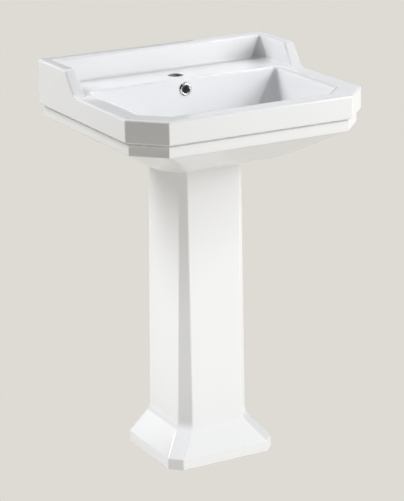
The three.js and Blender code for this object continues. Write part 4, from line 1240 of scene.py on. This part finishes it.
# ---- finishes ----------------------------------------------------------------------------------------------
class Finish:
    """A material with a principled shader and the means to build up its nodes."""

    def __init__(self, slot, base, roughness, metallic=0.0):
        material = bpy.data.materials.get(slot) or bpy.data.materials.new(slot)
        material.use_nodes = True
        self.tree = material.node_tree
        self.tree.nodes.clear()
        self.shader = self.tree.nodes.new("ShaderNodeBsdfPrincipled")
        surface = self.tree.nodes.new("ShaderNodeOutputMaterial").inputs["Surface"]
        self.tree.links.new(self.shader.outputs["BSDF"], surface)
        self.shader.inputs["Metallic"].default_value = metallic
        self.shader.inputs["Roughness"].default_value = roughness
        self.shader.inputs["Base Color"].default_value = (*base, 1)
        self.place = self.tree.nodes.new("ShaderNodeTexCoord").outputs["Object"]

    def node(self, kind, inputs=None, **settings):
        """A new node; each of its inputs is linked to a socket or set to a value."""
        node = self.tree.nodes.new(kind)
        for key, value in settings.items():
            setattr(node, key, value)
        for key, value in (inputs or {}).items():
            if isinstance(value, bpy.types.NodeSocket):
                self.tree.links.new(value, node.inputs[key])
            else:
                node.inputs[key].default_value = value
        return node

    def noise(self, scale, detail=2.0, roughness=0.5):
        inputs = {"Vector": self.place, "Scale": scale, "Detail": detail, "Roughness": roughness}
        return self.node("ShaderNodeTexNoise", inputs).outputs["Fac"]

    def stretched_noise(self, scale, across, detail=2.0):
        mapping = self.node("ShaderNodeMapping", {"Vector": self.place, "Scale": across})
        inputs = {"Vector": mapping.outputs["Vector"], "Scale": scale, "Detail": detail}
        return self.node("ShaderNodeTexNoise", inputs).outputs["Fac"]

    def between(self, fac, low, high, start=0.3, end=0.7):
        inputs = {"Value": fac, "From Min": start, "From Max": end, "To Min": low, "To Max": high}
        return self.node("ShaderNodeMapRange", inputs).outputs["Result"]

    def mix(self, fac, a, b):
        a, b = (v if isinstance(v, bpy.types.NodeSocket) else (*v, 1) for v in (a, b))
        return self.node("ShaderNodeMix", {0: fac, 6: a, 7: b}, data_type="RGBA").outputs[2]

    def mottled(self, colour, factor, scale, detail=2.0):
        """A colour with clouds of a shade of it."""
        return self.mix(self.between(self.noise(scale, detail), 0, 1), shade(colour, factor), colour)

    def maths(self, operation, a, b=0.5):
        return self.node("ShaderNodeMath", {0: a, 1: b}, operation=operation).outputs[0]

    def bump(self, height, strength, distance, under=None):
        inputs = {"Height": height, "Strength": strength, "Distance": distance}
        if under:
            inputs["Normal"] = under
        return self.node("ShaderNodeBump", inputs).outputs["Normal"]

    def set(self, **sockets):
        for key, value in sockets.items():
            self.tree.links.new(value, self.shader.inputs[key.replace("_", " ")])


def shade(colour, factor):
    return tuple(min(c * factor, 1.0) for c in colour)


def make_glaze(colours):
    """White vitreous china: glossy glaze over a body that is left bare where it meets wall, floor and pedestal."""
    f = Finish("glaze", colours.china, 0.08)
    f.shader.inputs["IOR"].default_value = 1.52
    f.shader.inputs["Specular IOR Level"].default_value = 0.36
    axes = f.node("ShaderNodeSeparateXYZ", {"Vector": f.place})
    y, z = axes.outputs["Y"], axes.outputs["Z"]
    wall = f.between(y, 0, 1, WALL_Y - 0.0012, WALL_Y - 0.0004)
    foot = f.between(z, 1, 0, 0.0005, 0.0014)
    seat = f.between(f.maths("ABSOLUTE", f.maths("SUBTRACT", z, SEAT_Z - 0.0015)), 1, 0, 0.0016, 0.0024)
    bare = f.maths("MAXIMUM", f.maths("MAXIMUM", wall, foot), seat)
    glaze = f.mottled(colours.china, 0.985, 5.0, 3.0)
    grain = f.between(f.noise(900.0, 2.0), 0, 1)
    # Faces marked inside the casting and in its holes get the dark raw colour: bare china there, darkened as
    # painted shade.
    inner = f.node("ShaderNodeAttribute", attribute_name="raw").outputs["Fac"]
    light = f.mix(grain, shade(colours.biscuit, 0.92), colours.biscuit)
    painted_shade_tone = f.mix(grain, shade(colours.raw, 0.88), colours.raw)
    biscuit = f.mix(inner, light, painted_shade_tone)
    bare = f.maths("MAXIMUM", bare, inner)
    film = f.between(f.noise(22.0, 4.0, 0.6), 0.05, 0.1)
    f.set(Base_Color=f.mix(bare, glaze, biscuit), Roughness=f.between(bare, film, 0.8, 0, 1))
    ripple = f.bump(f.noise(11.0, 1.0), 0.25, 0.0012)
    f.set(Normal=f.bump(f.noise(260.0, 1.0), 0.05, 0.0004, ripple))


def make_metals(colours):
    f = Finish("chrome", colours.chrome, 0.06, 1.0)
    f.set(Roughness=f.between(f.noise(60.0, 4.0, 0.65), 0.04, 0.13))
    f.set(Base_Color=f.mottled(colours.chrome, 0.95, 18.0))
    f.set(Normal=f.bump(f.noise(120.0, 1.0), 0.04, 0.0003))

    f = Finish("brass", colours.brass, 0.28, 1.0)
    tarnish = f.between(f.noise(140.0, 5.0, 0.7), 0, 1, 0.42, 0.7)
    f.set(Base_Color=f.mix(tarnish, colours.brass, shade(colours.brass, 0.62)))
    f.set(Roughness=f.between(tarnish, 0.22, 0.45, 0, 1))
    f.set(Normal=f.bump(f.stretched_noise(300.0, (1, 1, 14)), 0.12, 0.0002))

    f = Finish("steel", colours.steel, 0.35, 1.0)
    spangle = f.node("ShaderNodeTexVoronoi", {"Vector": f.place, "Scale": 420.0}).outputs["Distance"]
    f.set(Base_Color=f.mix(spangle, shade(colours.steel, 0.85), shade(colours.steel, 1.12)))
    f.set(Roughness=f.between(f.noise(220.0, 4.0), 0.26, 0.46))
    f.set(Normal=f.bump(f.noise(700.0, 2.0), 0.1, 0.0002))


def make_soft_finishes(colours):
    f = Finish("rubber", colours.rubber, 0.72)
    bloom = f.between(f.noise(150.0, 4.0, 0.6), 0, 1, 0.45, 0.75)
    f.set(Base_Color=f.mix(bloom, colours.rubber, shade(colours.rubber, 2.2)))
    f.set(Roughness=f.between(bloom, 0.62, 0.85, 0, 1), Normal=f.bump(f.noise(900.0), 0.15, 0.0002))

    f = Finish("nylon", colours.nylon, 0.48)
    f.shader.inputs["Subsurface Weight"].default_value = 0.1
    f.shader.inputs["Subsurface Scale"].default_value = 0.002
    f.set(Base_Color=f.mottled(colours.nylon, 0.95, 60.0))
    f.set(Roughness=f.between(f.noise(200.0), 0.4, 0.56), Normal=f.bump(f.noise(800.0), 0.1, 0.0002))

    f = Finish("sealant", colours.sealant, 0.4)
    f.set(Base_Color=f.mottled(colours.sealant, 0.96, 40.0))
    f.set(Roughness=f.between(f.noise(90.0, 3.0), 0.32, 0.5), Normal=f.bump(f.noise(160.0), 0.25, 0.0004))


# ---- studio ------------------------------------------------------------------------------------------------
def aim(obj, place, target):
    """Stands a light at a place and points it at another."""
    obj.location = place
    obj.rotation_mode = "QUATERNION"
    obj.rotation_quaternion = (Vector(target) - Vector(place)).to_track_quat("-Z", "Y")


def area_light(name, place, target, size, strength, tint):
    light = bpy.data.lights.new(name, "AREA")
    light.shape, light.size, light.size_y = "RECTANGLE", *size
    light.energy, light.color = strength, tint
    aim(placed(name, light), place, target)


# name, degrees round from the front and up, and size in metres
SOFTBOXES = (
    ("key_right", 45, 35, (1.0, 2.4)),
    ("low_right", 45, 15, (1.0, 2.4)),
    ("front_right", 30, 20, (1.0, 2.4)),
    ("front", 0, 20, (3.0, 2.4)),
    ("front_top", 0, 65, (2.0, 2.0)),
    ("overhead", 0, 88, (3.0, 3.0)),
    ("left", -135, 40, (1.0, 2.4)),
    ("low_left", -155, 20, (1.0, 2.4)),
    ("far_right", 135, 20, (3.0, 2.4)),
)
SOFTBOX_AWAY, SOFTBOX_AIM, SOFTBOX_WATTS = 5.0, (0, 0, 0.6), 100
# name, degrees round from the front, height that it points at, and degrees of its cone
FOOT_SPOTS = (("foot_front", -45, 0.12, 20.0), ("foot_left", -80, 0.27, 12.5))
SPOT_AWAY, SPOT_HEIGHT, SPOT_SOFTNESS, SPOT_WATTS = 3.5, 0.2, 0.25, 60
CAMERA_PLACE = (-2.036, -3.998, 1.800)  # from the wall plane
CAMERA_TURN = (28.26, -17.25, -1.08)  # degrees to the right, up, and of roll


def make_studio(settings):
    scene = bpy.context.scene
    floor = mesh_from("floor", [(-40, -40, 0), (40, -40, 0), (40, 40, 0), (-40, 40, 0)], [(0, 1, 2, 3)])
    floor.data.transform(Matrix.Translation((0, 0, -0.0005)))
    paint = bpy.data.materials.new("floor")
    paint.use_nodes = True
    shader = paint.node_tree.nodes["Principled BSDF"]
    for key, value in {
        "Base Color": (0, 0, 0, 1),
        "Roughness": 1.0,
        "Specular IOR Level": 0.0,
        "Emission Color": (*settings.floor, 1),
        "Emission Strength": 1.0,
    }.items():
        shader.inputs[key].default_value = value
    floor.data.materials.append(paint)

    world = bpy.data.worlds.new("studio")
    world.use_nodes = True
    world.node_tree.nodes["Background"].inputs["Strength"].default_value = 0.0
    scene.world = world

    for name, azimuth, elevation, size in SOFTBOXES:
        a, e = math.radians(azimuth), math.radians(elevation)
        out, up = SOFTBOX_AWAY * math.cos(e), SOFTBOX_AWAY * math.sin(e)
        place = (out * math.sin(a), -out * math.cos(a), SOFTBOX_AIM[2] + up)
        area_light(name, place, SOFTBOX_AIM, size, SOFTBOX_WATTS * getattr(settings, name), settings.light)
    for name, azimuth, height, cone in FOOT_SPOTS:
        a = math.radians(azimuth)
        light = bpy.data.lights.new(name, "SPOT")
        light.energy, light.color = SPOT_WATTS * getattr(settings, name), settings.light
        light.shadow_soft_size = SPOT_SOFTNESS
        light.spot_size, light.spot_blend = math.radians(cone), 1.0
        place = (SPOT_AWAY * math.sin(a), -SPOT_AWAY * math.cos(a), SPOT_HEIGHT)
        aim(placed(name, light), place, (0, 0.06, height))

    scene.view_settings.view_transform = "Standard"
    scene.view_settings.look = "None"
    camera = placed("camera", bpy.data.cameras.new("camera"))
    camera.data.lens, camera.data.sensor_width = settings.lens, 36
    camera.data.clip_start, camera.data.clip_end = 0.1, 100
    yaw, pitch, roll = (math.radians(v) for v in CAMERA_TURN)
    ahead = Vector((math.cos(pitch) * math.sin(yaw), math.cos(pitch) * math.cos(yaw), math.sin(pitch)))
    right = ahead.cross(Vector((0, 0, 1))).normalized()
    up = right.cross(ahead)
    right, up = right * math.cos(roll) + up * math.sin(roll), up * math.cos(roll) - right * math.sin(roll)
    turn = Matrix((right, up, -ahead)).transposed().to_4x4()
    camera.matrix_world = Matrix.Translation(Vector(CAMERA_PLACE) + Vector((0, WALL_Y, 0))) @ turn
    scene.camera = camera


# ---- operators and panel -----------------------------------------------------------------------------------
class BASIN_OT_finishes(bpy.types.Operator):
    """Make the materials of every finish"""

    bl_idname = "basin.finishes"
    bl_label = "Finishes"

    def execute(self, context):
        colours = context.scene.finish_colours
        make_glaze(colours)
        make_metals(colours)
        make_soft_finishes(colours)
        return {"FINISHED"}


class BASIN_OT_basin(bpy.types.Operator):
    """Make the basin's casting and its overflow ring"""

    bl_idname = "basin.basin"
    bl_label = "Basin"

    def execute(self, context):
        basin, bowl = context.scene.basin_sizes, context.scene.bowl_sizes
        make_basin(basin, bowl)
        make_overflow_ring(basin, bowl)
        return {"FINISHED"}


class BASIN_OT_pedestal(bpy.types.Operator):
    """Make the pedestal's casting and the bed of sealant on it"""

    bl_idname = "basin.pedestal"
    bl_label = "Pedestal"

    def execute(self, context):
        make_pedestal(context.scene.pedestal_sizes)
        make_bedding(context.scene.pedestal_sizes)
        return {"FINISHED"}


class BASIN_OT_waste(bpy.types.Operator):
    """Make the waste fitting and its gaskets and nut"""

    bl_idname = "basin.waste"
    bl_label = "Waste"

    def execute(self, context):
        make_waste()
        return {"FINISHED"}


class BASIN_OT_plug(bpy.types.Operator):
    """Make the plug, its latch and its spring"""

    bl_idname = "basin.plug"
    bl_label = "Plug"

    def execute(self, context):
        make_plug()
        return {"FINISHED"}


class BASIN_OT_trap(bpy.types.Operator):
    """Make the bottle trap and the pipe into the wall"""

    bl_idname = "basin.trap"
    bl_label = "Bottle trap"

    def execute(self, context):
        make_trap()
        return {"FINISHED"}


class BASIN_OT_fixings(bpy.types.Operator):
    """Make the two wall fixings"""

    bl_idname = "basin.fixings"
    bl_label = "Wall fixings"

    def execute(self, context):
        make_fixings()
        return {"FINISHED"}


class BASIN_OT_studio(bpy.types.Operator):
    """Make the floor, the lights and the camera"""

    bl_idname = "basin.studio"
    bl_label = "Studio"

    def execute(self, context):
        make_studio(context.scene.studio_settings)
        return {"FINISHED"}


OPERATORS = (
    BASIN_OT_finishes,
    BASIN_OT_basin,
    BASIN_OT_pedestal,
    BASIN_OT_waste,
    BASIN_OT_plug,
    BASIN_OT_trap,
    BASIN_OT_fixings,
    BASIN_OT_studio,
)
GROUPS = {
    "basin_sizes": BasinSizes,
    "bowl_sizes": BowlSizes,
    "pedestal_sizes": PedestalSizes,
    "finish_colours": FinishColours,
    "studio_settings": StudioSettings,
}


class BASIN_PT_panel(bpy.types.Panel):
    """Sizes, colours and the buttons that make each piece"""

    bl_idname = "BASIN_PT_panel"
    bl_label = "Pedestal basin"
    bl_space_type = "VIEW_3D"
    bl_region_type = "UI"
    bl_category = "Basin"

    def draw(self, context):
        for name, group in GROUPS.items():
            box = self.layout.box()
            box.label(text=name.replace("_", " ").capitalize())
            for key in group.__annotations__:
                box.prop(getattr(context.scene, name), key)
        for operator in OPERATORS:
            self.layout.operator(operator.bl_idname)


def register():
    for cls in (*GROUPS.values(), *OPERATORS, BASIN_PT_panel):
        bpy.utils.register_class(cls)
    for name, group in GROUPS.items():
        setattr(bpy.types.Scene, name, PointerProperty(type=group))


def unregister():
    for name in GROUPS:
        delattr(bpy.types.Scene, name)
    for cls in (BASIN_PT_panel, *reversed(OPERATORS), *reversed(GROUPS.values())):
        bpy.utils.unregister_class(cls)


def main():
    register()
    for operator in OPERATORS:
        group, name = operator.bl_idname.split(".")
        getattr(getattr(bpy.ops, group), name)()


if __name__ == "__main__":
    main()
